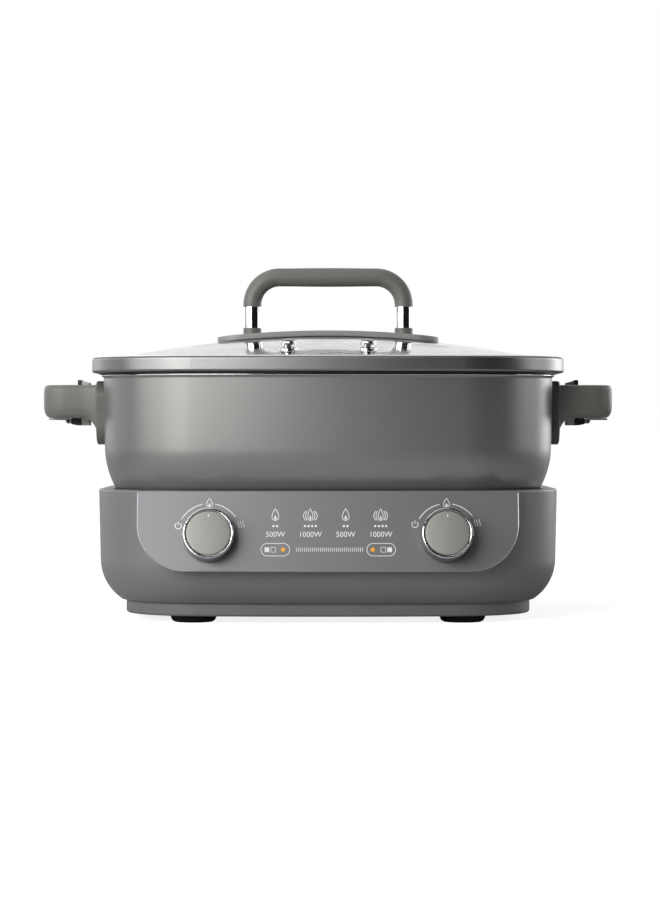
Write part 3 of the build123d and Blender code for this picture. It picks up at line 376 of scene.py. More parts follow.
lid_clear = clear_glass()
# Opaque white for the bead on the glass's ground edge: a painted highlight.
glass_edge_highlight_paint = moulded_plastic("ground_glass_edge", rgb(248, 250, 250), 0.4, 0.00001)
board = circuit_board()
amber = lit_lens()
print("glass, board and lamps ready")

# %% [markdown]
# ## A finish for every solid
#
# Every solid that stays visible takes a material by name. The table below is a plain dictionary from
# finish to the solids that wear it, which keeps all the choices in one place.


# %% Give the solids their finishes
def pair(*stems):
    """The left and the right solid of each name."""
    return [f"{stem}_{side}" for stem in stems for side in ("left", "right")]


finishes = {
    base_grey: ["base_housing", "control_panel"],
    cover_grey: ["base_bottom_cover"],
    foot_rubber: ["rubber_feet"],
    steel: ["cover_screws", "switch_nuts", "handle_rivets"],
    black_plastic: [
        "power_inlet", "terminal_block", "thermal_fuses", *pair("rotary_switch", "release_lever"),
    ],
    brass: ["inlet_pins"],
    board: ["control_board"],
    amber: pair("indicator"),
    pan_steel: pair("heat_pan", "temperature_sensor"),
    cast_grey: pair("heating_plate", "heating_element"),
    bright_chrome: ["lid_studs", *pair("knob_ring", "grip_post", "steam_vent", "lever_pin", "knob_shaft")],
    clip_grey: pair("lever_clip", "hinge_strip"),
    skirt_metal: pair("knob_body"),
    pot_coat: ["pot_vessel"],
    rim_steel: ["lid_rim"],
    handle_grey: ["lid_grip", "lid_bridge", *pair("side_handle", "grip_collar", "knob_cap")],
    plate_grey: pair("handle_plate"),
    seal_silicone: ["lid_gasket", "glass_washers"],
    lid_clear: ["lid_glass"],
}
for material, names in finishes.items():
    for name in names:
        nodes[name].data.materials.clear()
        nodes[name].data.materials.append(material)
missing = sorted(set(nodes) - {name for names in finishes.values() for name in names})
print("solids with no finish:", missing)


# %% [markdown]
# ## Turning a mesh into a piece
#
# Every new piece ends the same way: faces made consistent and outward, shading smooth except across sharp
# edges, a material, and the body it rides on. One function does that, so no piece can miss a step.


# %% Finish a piece
def finish_piece(name, mesh, body, *materials, sharp=35.0):
    """An object from a closed mesh, smooth but for its sharp edges, riding on a body."""
    form = bmesh.new()
    form.from_mesh(mesh)
    bmesh.ops.remove_doubles(form, verts=form.verts, dist=1e-7)
    bmesh.ops.recalc_face_normals(form, faces=form.faces)
    for face in form.faces:
        face.smooth = True
    for edge in form.edges:
        edge.smooth = len(edge.link_faces) == 2 and edge.calc_face_angle(0.0) < math.radians(sharp)
    open_edges = sum(1 for edge in form.edges if len(edge.link_faces) != 2)
    form.to_mesh(mesh)
    form.free()
    mesh.materials.clear()
    for material in materials:
        mesh.materials.append(material)
    mesh.name = name
    piece = bpy.data.objects.new(name, mesh)
    bpy.context.scene.collection.objects.link(piece)
    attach(piece, body)
    print(f"{name}: {len(mesh.vertices)} points, {len(mesh.polygons)} faces, {open_edges} open edges")
    return piece


def mesh_from_rings(rings, closed=False):
    """A skin over rings of points. It ends in a face at each end, or, when closed, in its own beginning."""
    points = [point for ring in rings for point in ring]
    count = len(rings[0])
    faces = []
    for level in range(len(rings) if closed else len(rings) - 1):
        below = level * count
        above = (level + 1) % len(rings) * count
        for index in range(count):
            after = (index + 1) % count
            faces.append((below + index, below + after, above + after, above + index))
    if not closed:
        faces.append(tuple(range(count)))
        faces.append(tuple(len(points) - count + index for index in range(count)))
    mesh = bpy.data.meshes.new("skin")
    mesh.from_pydata(points, [], faces)
    return mesh


def arc(centre, radius, start, end, count):
    """Points along an arc in degrees, as (across, up) pairs."""
    angles = [math.radians(start + (end - start) * index / (count - 1)) for index in range(count)]
    return [(centre[0] + radius * math.cos(a), centre[1] + radius * math.sin(a)) for a in angles]


print("mesh helpers ready")

# %% [markdown]
# ## The pot
#
# The pot is a casting whose wall follows one plan: a straight side, a round corner and a gently bowed
# front, all offset in parallel. That is a rule, so the pot is lofted: each ring of points is the plan
# pushed in or out by one number at one level. Outside it wears the satin coat, and inside, from the lip
# down, the speckled lining.

# %% The plan, as base points and normals
half_width = 168.2
half_depth = 135.0
plan_corner = 78.0
bow_radius = 941.0
corner_x = half_width - plan_corner
bow_centre = bow_radius - half_depth
corner_y = math.sqrt((bow_radius - plan_corner) ** 2 - corner_x**2) - bow_centre
bow_end = math.degrees(math.asin(corner_x / (bow_radius - plan_corner)))


def plan_quarter():
    """The front right quarter, from front to side, as (x, y, normal x, normal y)."""
    samples = []
    for index in range(8):
        angle = math.radians(-90 + bow_end * index / 8)
        normal = (math.cos(angle), math.sin(angle))
        samples.append((bow_radius * normal[0], bow_centre + bow_radius * normal[1], *normal))
    for index in range(25):
        angle = math.radians(-90 + bow_end + (90 - bow_end) * index / 24)
        normal = (math.cos(angle), math.sin(angle))
        samples.append((corner_x + plan_corner * normal[0], -corner_y + plan_corner * normal[1], *normal))
    samples.append((half_width, -corner_y / 2, 1.0, 0.0))
    samples.append((half_width, 0.0, 1.0, 0.0))
    return samples


quarter = plan_quarter()
back = [(x, -y, nx, -ny) for x, y, nx, ny in reversed(quarter[:-1])]
right = quarter + back
left = [(-x, y, -nx, ny) for x, y, nx, ny in reversed(right[1:-1])]
plan_samples = right + left


def plan_ring(grow, level):
    """The plan pushed out by grow, at a level."""
    return [metres(x + grow * nx, y + grow * ny, level) for x, y, nx, ny in plan_samples]


print(len(plan_samples), "points round the plan; the bow ends at", round(bow_end, 2), "degrees")

# %% Loft the pot
pot_rim = 182.5
pot_bottom = 80.0
pot_wall = 3.0
pot_floor = 84.0
pot_draft = math.tan(math.radians(0.9))
turn_radius = 64.0
turn_level = 129.0
lip_out = 1.5
lip_height = 2.0
foot_edge = 5.0
turn_centre = -turn_radius * math.sqrt(1 + pot_draft**2) - (pot_rim - turn_level) * pot_draft
turn_drop = turn_level - pot_bottom - foot_edge
turn_end = math.degrees(math.acos(turn_drop / (turn_radius - foot_edge)))
foot_centre = turn_centre + math.sqrt((turn_radius - foot_edge) ** 2 - turn_drop**2)
inner_end = math.degrees(math.asin((turn_level - pot_floor) / (turn_radius - pot_wall)))
lip_round = lip_height / 2

outside = [(foot_centre, pot_bottom)]
outside += arc((foot_centre, pot_bottom + foot_edge), foot_edge, -75, -90 + turn_end, 4)
outside += arc((turn_centre, turn_level), turn_radius, -90 + turn_end + 1.5, -0.9, 26)
outside += [(-(pot_rim - level) * pot_draft, level) for level in (140.0, 160.0, 175.0, 179.0, 180.2)]
outside += [(0.25, pot_rim - lip_height)]
outside += arc((lip_out - lip_round, pot_rim - lip_round), lip_round, -80, 80, 9)
inside = [(-pot_wall + 0.8, pot_rim - 0.05), (-pot_wall + 0.2, pot_rim - 0.35), (-pot_wall, pot_rim - 1.0)]
inside += [(-pot_wall - (pot_rim - level) * pot_draft, level) for level in (180.0, 175.0, 150.0)]
inside += arc((turn_centre, turn_level), turn_radius - pot_wall, -0.9, -inner_end + 2.0, 22)
inside += [(inside[-1][0] - 1.6, pot_floor + 0.35), (inside[-1][0] - 3.6, pot_floor)]
profile = outside + inside
pot_mesh = mesh_from_rings([plan_ring(grow, level) for grow, level in profile])
pot = finish_piece("pot_body", pot_mesh, "pot", pot_coat, pot_lining, bare_lip, sharp=60.0)
ring_size = len(plan_samples)
lip_from = metres(0, 0, pot_rim - lip_height - 0.1).z
for face in pot.data.polygons:
    ring_level = min(vertex // ring_size for vertex in face.vertices)
    inner_floor = len(face.vertices) > 4 and face.center.z > metres(0, 0, pot_floor - 1).z
    if inner_floor or (ring_level >= len(outside) and len(face.vertices) == 4):
        face.material_index = 1
    elif face.center.z > lip_from:
        face.material_index = 2
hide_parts("pot_vessel")
print("lined faces:", sum(face.material_index == 1 for face in pot.data.polygons))

# %% [markdown]
# ## The divider
#
# A cast wall splits the pot into two chambers. It is a thin drafted fin with a round top, and its ends
# run into the pot's wall, so each of its points is stretched to where the inside of the wall is at that
# level.


# %% The divider
def inner_wall(level):
    """How far in from the plan the inside of the wall is at a level."""
    if level > turn_level:
        return -pot_wall - (pot_rim - level) * pot_draft
    return turn_centre + math.sqrt((turn_radius - pot_wall) ** 2 - (turn_level - level) ** 2)


divider_top = 172.0
divider_half = 1.5
divider_draft = math.tan(math.radians(2.0))
crown = arc((0, divider_top - divider_half), divider_half, 0, 180, 9)
levels = [pot_floor - 1.0, 92.0, 102.0, 114.0, 129.0, 150.0]
right_side = [(divider_half + (divider_top - level) * divider_draft, level) for level in levels]
fin = right_side + crown + [(-across, level) for across, level in reversed(right_side)]
ends = []
for side in (-1, 1):
    reaches = [side * (half_depth + inner_wall(level) + 1.0) for across, level in fin]
    ends.append([metres(across, reach, level) for reach, (across, level) in zip(reaches, fin)])
divider = finish_piece("pot_divider", mesh_from_rings(ends), "pot", pot_lining)
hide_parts("pot_vessel")

# %% [markdown]
# ## The lid's edge
#
# Where the steel band folds over the glass, a dark silicone bead lies between them; it is painted shade,
# standing for the shadow line at the fold. Above it a white bead is a painted highlight for the light that
# the ground edge of the glass catches. Both are thin beads that follow the pot's own plan, so the same
# offset rule makes them.


# %% The lid's edge
def edge_bead(name, grow, level, radius, material):
    """A thin round bead along the plan."""
    rings = []
    for index in range(10):
        angle = 2 * math.pi * index / 10
        rings.append(plan_ring(grow + radius * math.cos(angle), level + radius * math.sin(angle)))
    mesh = mesh_from_rings(rings, closed=True)
    return finish_piece(name, mesh, "lid", material)


band_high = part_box("lid_rim")[1]
band_top = band_high.z * 1000
band_grow = band_high.x * 1000 - half_width
# A dark bead at the band's fold: painted shade for the shadow line there.
edge_bead("lid_seal_line", band_grow - 1.0, band_top - 0.25, 0.42, seal_silicone)
# A white bead above it: a painted highlight on the glass's edge.
edge_bead("glass_edge_line", band_grow - 2.0, band_top + 0.5, 0.5, glass_edge_highlight_paint)

# %% [markdown]
# ## The bridge
#
# The strap that carries the grip is an even, thin arch with round ends. It is lofted from slices across
# its length: each slice is as wide as the rounded end allows at that place, and sits on one long arc.

# %% The bridge
strap_low, strap_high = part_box("lid_bridge")
strap_half_length = strap_high.x * 1000
strap_half_width = (strap_high.y - strap_low.y) * 1000 / 2
strap_crown = strap_high.z * 1000
strap_thickness = 4.5
strap_radius = 749.0
strap_edge = 0.9
end_start = strap_half_length - strap_half_width


def strap_slice(x):
    """The strap's section at x: a flat bar with round edges."""
    into_end = max(0.0, abs(x) - end_start)
    half = math.sqrt(strap_half_width**2 - into_end**2)
    top = strap_crown - strap_radius + math.sqrt(strap_radius**2 - x**2)
    low = top - strap_thickness + strap_edge
    high = top - strap_edge
    half = max(half, strap_edge + 0.1) - strap_edge
    outline = arc((half, high), strap_edge, 0, 90, 6) + arc((-half, high), strap_edge, 90, 180, 6)
    outline += arc((-half, low), strap_edge, 180, 270, 6) + arc((half, low), strap_edge, 270, 360, 6)
    return [metres(x, across, level) for across, level in outline]


stations = [end_start * share / 14 for share in range(14)]
stations += [end_start + strap_half_width * math.sin(math.radians(5.6 * step)) for step in range(17)]
stations = [-x for x in reversed(stations[1:])] + stations
strap_mesh = mesh_from_rings([strap_slice(x) for x in stations])
bridge = finish_piece("lid_strap", strap_mesh, "lid", strap_grey, sharp=50.0)
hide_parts("lid_bridge")

# %% [markdown]
# ## The side grips
#
# Each side grip is a loop of one bar. Its section is rounder below than above, because fingers curl up
# from underneath, and it spreads in a hollow curve into the plate that holds it. The loop is laid out for
# the left side and mirrored.

# %% The side grips
bar_half = 7.0
bar_bottom = 150.0
bar_middle = 162.5
bar_top = 175.0
loop_half_length = 48.0
loop_taper = 1.8
loop_bend = 10.0
loop_reach = 215.5
loop_root = 174.6
root_spread = 12.0
root_drop = 8.7


def bar_section(bottom, top, half):
    """The bar's outline as (outward, level): squarer above the middle, rounder below."""
    points = []
    for index in range(40):
        angle = 2 * math.pi * index / 40
        power = 2 / (5.5 if math.sin(angle) > 0 else 3.0)
        out = half * math.copysign(abs(math.cos(angle)) ** power, math.cos(angle))
        rise = math.copysign(abs(math.sin(angle)) ** power, math.sin(angle))
        points.append((out, bar_middle + rise * (top - bar_middle if rise > 0 else bar_middle - bottom)))
    return points


def loop_path():
    """Front half of the loop's middle line: (out from the root, sideways, direction of the outward side)."""
    line = []
    limb_end = loop_reach - bar_half - loop_bend
    for index in range(15):
        out = loop_root + (limb_end - loop_root) * index / 14
        line.append((out, loop_half_length - loop_taper - bar_half, 90.0))
    for index in range(1, 12):
        angle = 90 - 90 * index / 11
        turn = math.radians(angle)
        across = loop_half_length - loop_taper - bar_half - loop_bend + loop_bend * math.sin(turn)
        line.append((limb_end + loop_bend * math.cos(turn), across, angle))
    line += [(loop_reach - bar_half, across * share, 0.0) for share in (0.66, 0.33, 0.0)]
    return line


front_half = loop_path()
loop_line = front_half + [(out, -across, -angle) for out, across, angle in reversed(front_half[:-1])]
for side, name in ((-1, "left"), (1, "right")):
    rings = []
    for out, across, angle in loop_line:
        near_root = max(0.0, 1 - (out - loop_root) / root_spread)
        spread = loop_taper * near_root**2
        section = bar_section(bar_bottom - root_drop * near_root**3, bar_top, bar_half)
        ring = []
        for push, level in section:
            outward = push + (spread if push > 0 else 0.0)
            x = out + outward * math.cos(math.radians(angle))
            y = -across - outward * math.sin(math.radians(angle))
            ring.append(metres(side * x, y, level))
        rings.append(ring)
    loop = finish_piece("side_grip_" + name, mesh_from_rings(rings), "pot", handle_grey)
    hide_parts("side_handle_" + name)

# %% [markdown]
# ## Building a Geometry Nodes tree
#
# The grip is one bar whose section follows a rule along its path, and the tick scale is one mark
# repeated. Geometry Nodes suit both. A tree is built in the script with named inputs, put on an object,
# evaluated once, and turned into a plain mesh.


# %% Geometry Nodes helpers
def new_tree(name, **inputs):
    """A Geometry Nodes tree with one geometry in and out and named inputs, and its signals."""
    tree = bpy.data.node_groups.new(name, "GeometryNodeTree")
    tree.interface.new_socket("Geometry", in_out="INPUT", socket_type="NodeSocketGeometry")
    for key, kind in inputs.items():
        tree.interface.new_socket(key, in_out="INPUT", socket_type=kind)
    tree.interface.new_socket("Geometry", in_out="OUTPUT", socket_type="NodeSocketGeometry")
    entry = tree.nodes.new("NodeGroupInput")
    return tree, {socket.name: Signal(tree, socket) for socket in entry.outputs if socket.name}


def grown_mesh(name, tree, start_mesh, **values):
    """Runs a tree on a starting mesh with its named inputs set, and returns a plain mesh."""
    holder = bpy.data.objects.new(name, start_mesh)
    bpy.context.scene.collection.objects.link(holder)
    modifier = holder.modifiers.new("grow", "NODES")
    modifier.node_group = tree
    for item in tree.interface.items_tree:
        if item.item_type == "SOCKET" and item.in_out == "INPUT" and item.name in values:
            modifier[item.identifier] = values[item.name]
    evaluated = holder.evaluated_get(bpy.context.evaluated_depsgraph_get())
    mesh = bpy.data.meshes.new_from_object(evaluated)
    bpy.data.objects.remove(holder)
    return mesh


def close_tree(tree, result, material):
    """Ends a tree in real geometry that wears a material."""
    solid = result.node("GeometryNodeRealizeInstances", Geometry=result)
    dressed = solid.node("GeometryNodeSetMaterial", Geometry=solid, Material=material)
    exit_node = tree.nodes.new("NodeGroupOutput")
    tree.links.new(dressed.socket, exit_node.inputs[0])


def line_mesh(points):
    """A mesh of bare edges through points, for a tree to turn into a curve."""
    mesh = bpy.data.meshes.new("path")
    mesh.from_pydata(points, [(index, index + 1) for index in range(len(points) - 1)], [])
    return mesh


print("tree helpers ready")

# %% [markdown]
# ## The grip
#
# The grip is a round phenolic bar, bent down at both ends onto bright posts, and a little fuller in the
# middle where a hand closes round it. A path with two rounded corners carries a circle whose scale swells
# along the top.

# %% The grip
post_low, post_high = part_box("grip_post_left")
grip_low, grip_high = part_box("lid_grip")
grip_radius = 6.95
grip_swell = 0.3
grip_bend = 21.0
post_x = -(post_low.x + post_high.x) / 2 * 1000
grip_foot = grip_low.z * 1000
grip_level = grip_high.z * 1000 - grip_radius - grip_swell

bar_inputs = {name: "NodeSocketFloat" for name in ("Bar_Radius", "Swell", "Bend")}
tree, wires = new_tree("bent_bar", **bar_inputs)
path = wires["Geometry"].node("GeometryNodeMeshToCurve", Mesh=wires["Geometry"])
bend = {"Curve": path, "Radius": wires["Bend"], "Count": 18}
path = path.node("GeometryNodeFilletCurve", {"mode": "POLY"}, **bend)
path = path.node("GeometryNodeResampleCurve", {"mode": "COUNT"}, Curve=path, Count=150)
along = path.node("GeometryNodeSplineParameter")
from_middle = along.math("ABSOLUTE", along - 0.5)
fullness = 1.0 - from_middle.step(0.0, 0.27)
thickness = wires["Bar_Radius"] + wires["Swell"] * fullness
section = path.node("GeometryNodeCurvePrimitiveCircle", {"mode": "RADIUS"}, Resolution=48, Radius=1.0)
skin = {"Curve": path, "Profile_Curve": section, "Scale": thickness, "Fill_Caps": True}
bar = path.node("GeometryNodeCurveToMesh", **skin)
close_tree(tree, bar, handle_grey)
ends = ((-post_x, grip_foot), (-post_x, grip_level), (post_x, grip_level), (post_x, grip_foot))
sizes = {"Bar_Radius": grip_radius / 1000, "Swell": grip_swell / 1000, "Bend": grip_bend / 1000}
grip_mesh = grown_mesh("grip_path", tree, line_mesh([metres(x, 0, z) for x, z in ends]), **sizes)
grip = finish_piece("lid_grip_bar", grip_mesh, "lid", handle_grey)
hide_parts("lid_grip")
print("grip from", round(grip_foot, 1), "to", round(grip_level + grip_radius, 1), "mm high")

# %% [markdown]
# ## Knob faces
#
# Each knob carries a turned metal face, slightly crowned, with a fine dark gap to the bright ring and a
# short white pointer line. The face is a spun profile laid on the knob's own axis, which leans with the
# fascia.

# %% The knob's axis
fascia_tilt = math.radians(11.5)
cap_radius = 15.9
cap_edge = 0.5
cap_thickness = 1.4
cap_crown = 0.6
cap_seat = 0.1
fascia_normal = Vector((0, -math.cos(fascia_tilt), math.sin(fascia_tilt)))
fascia_up = Vector((0, math.sin(fascia_tilt), math.cos(fascia_tilt)))


def turned_metal(name, colour, roughness, centre_x, centre_z):
    """Lathe-turned metal: hairlines that run round a centre, which a ring pattern of bump draws."""
    material, shader, place = new_material(name, Metallic=0.8)
    shift = {"Vector": place, "Location": (-centre_x, 0.0, -centre_z)}
    local = place.node("ShaderNodeMapping", {"vector_type": "POINT"}, **shift)
    radius = local.node("ShaderNodeVectorMath", {"operation": "LENGTH"}, output=1, Vector=local)
    lathe = {"W": radius, "Scale": 5200.0, "Detail": 3.0}
    groove = radius.node("ShaderNodeTexNoise", {"noise_dimensions": "1D"}, **lathe)
    haze = place.noise(200.0, 3.0)
    feed(shader, Base_Color=groove.mix(scaled(colour, 0.93), scaled(colour, 1.04)))
    feed(shader, Roughness=haze * 0.1 + (roughness - 0.05))
    feed(shader, Normal=groove.bump(0.000012, 0.35))
    return material


print("knob face helpers ready")

# %% The knob faces
print_white = moulded_plastic("printed_white", rgb(246, 246, 246), 0.5, 0.00001)
for side in ("left", "right"):
    cap_low, cap_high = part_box("knob_cap_" + side)
    outer_edge = (cap_high.x - cap_low.x) / 2
    rim_middle_y = cap_low.y + outer_edge * math.sin(fascia_tilt)
    rim_middle_z = cap_high.z - outer_edge * math.cos(fascia_tilt)
    face_centre = Vector(((cap_low.x + cap_high.x) / 2, rim_middle_y, rim_middle_z))

    def on_knob(right_by, up_by, out_by):
        return face_centre + (Vector((right_by, 0, 0)) + fascia_up * up_by + fascia_normal * out_by) / 1000

    edge = arc((cap_radius - cap_edge, -cap_edge), cap_edge, 0, 90, 6)
    reaches = (14.0, 12.0, 9.0, 6.0, 3.0, 1.0)
    crown_line = [(reach, cap_crown * (1 - (reach / cap_radius) ** 2)) for reach in reaches]
    half_section = [(1.0, -cap_thickness), (cap_radius, -cap_thickness)] + edge + crown_line
    turns = [math.radians(5 * step) for step in range(72)]
    rings = []
    for reach, height in half_section:
        rings.append([on_knob(reach * math.cos(a), reach * math.sin(a), height + cap_seat) for a in turns])
    material = turned_metal("turned_face_" + side, rgb(164, 166, 160), 0.55, face_centre.x, face_centre.z)
    cap = finish_piece("knob_face_" + side, mesh_from_rings(rings), "knob_" + side, material)
    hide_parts("knob_cap_" + side)
    outline = [(-0.4, 11.4), (0.4, 11.4), (0.4, 13.3), (0.0, 13.7), (-0.4, 13.3)]
    tick = [[on_knob(x, y, lift) for x, y in outline] for lift in (0.05, cap_seat + cap_crown * 0.45)]
    finish_piece("knob_pointer_" + side, mesh_from_rings(tick), "knob_" + side, print_white)

# %% [markdown]
# ## Printed marks
#
# Marks are pad printed: a film of white ink a few hundredths of a millimetre thick. They are drawn flat,
# as strokes and closed outlines, in the fascia's own (across, up) millimetres. Then each point is cast
# straight back onto the panel, so that the drawing bends with it, and lifted by the thickness of the ink.

# %% Lay a flat drawing on the fascia
panel = nodes["control_panel"]
panel_points = [vertex.co.copy() for vertex in panel.data.vertices]
panel_faces = [tuple(face.vertices) for face in panel.data.polygons]
panel_tree = BVHTree.FromPolygons(panel_points, panel_faces)


def on_fascia(x, z, lift):
    """The point of the fascia seen at (x, z) from the front, lifted off it."""
    start = metres(x, -400, z)
    hit = panel_tree.ray_cast(start, Vector((0, 1, 0)))
    return hit[0] + fascia_normal * (lift / 1000)


ink_under = -0.05
ink_over = 0.04


class Drawing:
    """Collects inked shapes, each a closed thin slab, and turns them into one mesh."""

    def __init__(self):
        self.points = []
        self.faces = []

    def slab(self, outline):
        """A filled outline, given as (x, z) points in order."""
        start = len(self.points)
        size = len(outline)
        self.points += [on_fascia(x, z, ink_under) for x, z in outline]
        self.points += [on_fascia(x, z, ink_over) for x, z in outline]
        self.faces.append(tuple(start + index for index in range(size)))
        self.faces.append(tuple(start + size + index for index in range(size)))
        for index in range(size):
            after = (index + 1) % size
            self.faces.append((start + index, start + after, start + size + after, start + size + index))

    def stroke(self, path, width, closed=False):
        """A line of even width along (x, z) points."""
        rows = []
        size = len(path)
        for index, (x, z) in enumerate(path):
            before = path[(index - 1) % size] if closed or index > 0 else path[index]
            after = path[(index + 1) % size] if closed or index < size - 1 else path[index]
            along = Vector((after[0] - before[0], after[1] - before[1])).normalized()
            side = (-along.y * width / 2, along.x * width / 2)
            rows.append(((x + side[0], z + side[1]), (x - side[0], z - side[1])))
        start = len(self.points)
        for one, two in rows:
            for lift in (ink_under, ink_over):
                self.points += [on_fascia(*one, lift), on_fascia(*two, lift)]
        joins = size if closed else size - 1
        for index in range(joins):
            a = start + 4 * index
            b = start + 4 * ((index + 1) % size)
            for first, second in ((0, 1), (1, 3), (3, 2), (2, 0)):
                self.faces.append((a + first, a + second, b + second, b + first))
        if not closed:
            for a in (start, start + 4 * (size - 1)):
                self.faces.append((a, a + 1, a + 3, a + 2))

    def mesh(self):
        made = bpy.data.meshes.new("print")
        made.from_pydata(self.points, [], self.faces)
        return made


ink = Drawing()
print("fascia has", len(panel_faces), "faces to draw on")

# %% Flames, arcs and pills
line_width = 0.5
mark_columns = (-37.9, -12.7, 12.7, 37.9)
knob_columns = (-85.5, 85.5)
knob_level = 64.5


def flame_side(width, height):
    """The right-hand side of a flame, from its foot up to its tip, as (across, up)."""
    side = []
    for step in range(15):
        share = step / 14
        side.append((width / 2 * math.sin(math.pi * share**0.62) ** 0.85, height * share))
    return side


def flame(x, z, width, height):
    """A pointed flame outline with a small one inside it, standing on z."""
    right_half = flame_side(width, height)
    left_half = [(-across, up) for across, up in reversed(right_half[1:-1])]
    ink.stroke([(x + across, z + up) for across, up in right_half + left_half], line_width, closed=True)
    core = flame_side(width * 0.36, height * 0.38)
    core += [(-across, up) for across, up in reversed(core[1:-1])]
    ink.slab([(x + across, z + height * 0.07 + up) for across, up in core])


def bracket_pair(x, z, width, height):
    """Two curved strokes that stand round a flame."""
    for side in (-1, 1):
        bow = []
        for share in (step / 10 for step in range(11)):
            bow.append((x + side * width / 2 * (1 - 0.32 * (2 * share - 1) ** 2), z + height * share))
        ink.stroke(bow, line_width)


def square(x, z, half):
    """The corners of a square round a point."""
    return [(x - half, z - half), (x + half, z - half), (x + half, z + half), (x - half, z + half)]


def pips(x, z, count):
    """A row of small squares that stands for a level."""
    for index in range(count):
        ink.slab(square(x + (index - (count - 1) / 2) * 2.6, z, 0.75))


for index, x in enumerate(mark_columns):
    strong = index % 2 == 1
    flame(x, 76.0, 3.6 if strong else 4.9, 8.5)
    if strong:
        bracket_pair(x, 76.2, 6.6, 6.6)
        bracket_pair(x, 76.2, 9.9, 6.6)
    pips(x, 72.1, 4 if strong else 2)
for knob_x in knob_columns:
    flame(knob_x, 85.6, 4.2, 6.2)
    for start, end in ((148, 102.5), (80, 37)):
        ink.stroke(arc((knob_x, knob_level), 23.6, start, end, 22), 0.6)
print("points drawn so far:", len(ink.points))


# %% Pills with a small two-part pot each
def pill(x, z, width, height):
    """A stadium outline."""
    radius = height / 2
    right_end = arc((x + width / 2 - radius, z), radius, -90, 90, 13)
    left_end = arc((x - width / 2 + radius, z), radius, 90, 270, 13)
    top = [(x + (width / 2 - radius) * share, z + radius) for share in (0.5, 0, -0.5)]
    bottom = [(x + (width / 2 - radius) * share, z - radius) for share in (-0.5, 0, 0.5)]
    ink.stroke(right_end + top + left_end + bottom, 0.45, closed=True)


def half_signs(x, z, lit_side):
    """Two little squares side by side: the filled one is the half of the pot that a lamp is for."""
    for side in (-1, 1):
        corners = square(x + side * 2.3, z, 1.7)
        if side == lit_side:
            ink.slab(corners)
        else:
            ink.stroke(corners, line_width, closed=True)


pill_width = 20.6
pill_height = 8.9
pill(-37.85, 55.25, pill_width, pill_height)
pill(38.25, 55.25, pill_width, pill_height)
half_signs(-41.6, 55.2, -1)
half_signs(42.0, 55.2, 1)


def off_sign(x, z):
    """An open ring with a bar: off."""
    ink.stroke(arc((x, z), 2.2, 125, 415, 20), line_width)
    ink.stroke([(x, z + 0.6), (x, z + 3.0)], line_width)


def heat_sign(x, z):
    """Three rising waves: full heat."""
    for shift in (-1.8, 0.0, 1.8):
        wave = []
        for step in range(11):
            wave.append((x + shift + 0.55 * math.sin(step / 10 * 2 * math.pi), z - 2.4 + step * 0.48))
        ink.stroke(wave, 0.45)


off_sign(-108.0, 72.1)
heat_sign(-62.6, 73.3)
off_sign(62.6, 73.2)
heat_sign(107.6, 74.3)
finish_piece("printed_marks", ink.mesh(), "base", print_white, sharp=20.0)

# %% [markdown]
# ## Numbers
#
# The power figures are real text objects first, because a font holds the outlines. Each is turned into a
# mesh, and then laid on the fascia point by point like the rest of the ink.


# %% Numbers on the fascia
def inked_text(name, words, x, z, height):
    """Text laid on the fascia, centred on (x, z)."""
    writing = bpy.data.curves.new(name, "FONT")
    writing.body = words
    writing.align_x = "CENTER"
    writing.align_y = "CENTER"
    writing.size = height / 0.71
    writing.extrude = 0.5
    writing.offset = 0.01
    writing.resolution_u = 3
    holder = bpy.data.objects.new(name, writing)
    mesh = bpy.data.meshes.new_from_object(holder)
    bpy.data.objects.remove(holder)
    for vertex in mesh.vertices:
        right_by, up_by, depth = vertex.co
        vertex.co = on_fascia(x + right_by, z + up_by, ink_over if depth > 0 else ink_under)
    return finish_piece(name, mesh, "base", print_white, sharp=20.0)


for index, x in enumerate(mark_columns):
    inked_text(f"power_figure_{index + 1}", "1000W" if index % 2 else "500W", x, 66.0, 3.9)

# %% [markdown]
# ## The tick scale
#
# Between the two pills runs a row of 34 short ticks. One tick is instanced on the points of a path that
# follows the bowed fascia, so one number, Count, closes the row up or opens it out.

# %% Tick scale
tick_count = 34
tick_half_run = 23.7
tick_middle = 1.1
tick_z = 55.3
tree, wires = new_tree("tick_row", Count="NodeSocketInt", Tick_Size="NodeSocketVector")
path = wires["Geometry"].node("GeometryNodeMeshToCurve", Mesh=wires["Geometry"])
stations = path.node("GeometryNodeCurveToPoints", {"mode": "COUNT"}, Curve=path, Count=wires["Count"])
tick = path.node("GeometryNodeMeshCube", Size=wires["Tick_Size"])
lean = path.node("FunctionNodeEulerToRotation", Euler=(-fascia_tilt, 0.0, 0.0))
row = path.node("GeometryNodeInstanceOnPoints", Points=stations, Instance=tick, Rotation=lean)
close_tree(tree, row, print_white)
tick_lift = (ink_over + ink_under) / 2
run = [on_fascia(tick_middle + tick_half_run * step / 12, tick_z, tick_lift) for step in range(-12, 13)]
tick_size = (0.0004, (ink_over - ink_under) / 1000, 0.003)
tick_mesh = grown_mesh("tick_path", tree, line_mesh(run), Count=tick_count, Tick_Size=tick_size)
finish_piece("tick_scale", tick_mesh, "base", print_white, sharp=20.0)

# %% [markdown]
# ## The fascia's edge
#
# The fascia's moulded edge stands a hair proud and is shinier than its face, so it draws a thin line of
# light down both sides. A fine bead along the outline catches that light at any angle, which a bump on a
# flat face can't. Its coat is also paler than the fascia's, a painted highlight added to the light it really
# catches.

# %% The fascia's edge
fascia_low, fascia_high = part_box("control_panel")
fascia_corner = 34.0
bead_inset = 0.45
bead_radius = 0.4
bead_sink = 0.2
bead_stop = 1.5
bead_bend = fascia_corner - bead_inset
bead_x = fascia_high.x * 1000 - bead_inset
bead_bottom = fascia_low.z * 1000 + bead_inset
bead_top = fascia_high.z * 1000 - bead_stop
# The bead's coat is paler than the fascia's grey: a painted highlight.
edge_painted_highlight = satin_coat("fascia_edge_satin", rgb(176, 177, 179), 0.3, 0.7, 0.03)

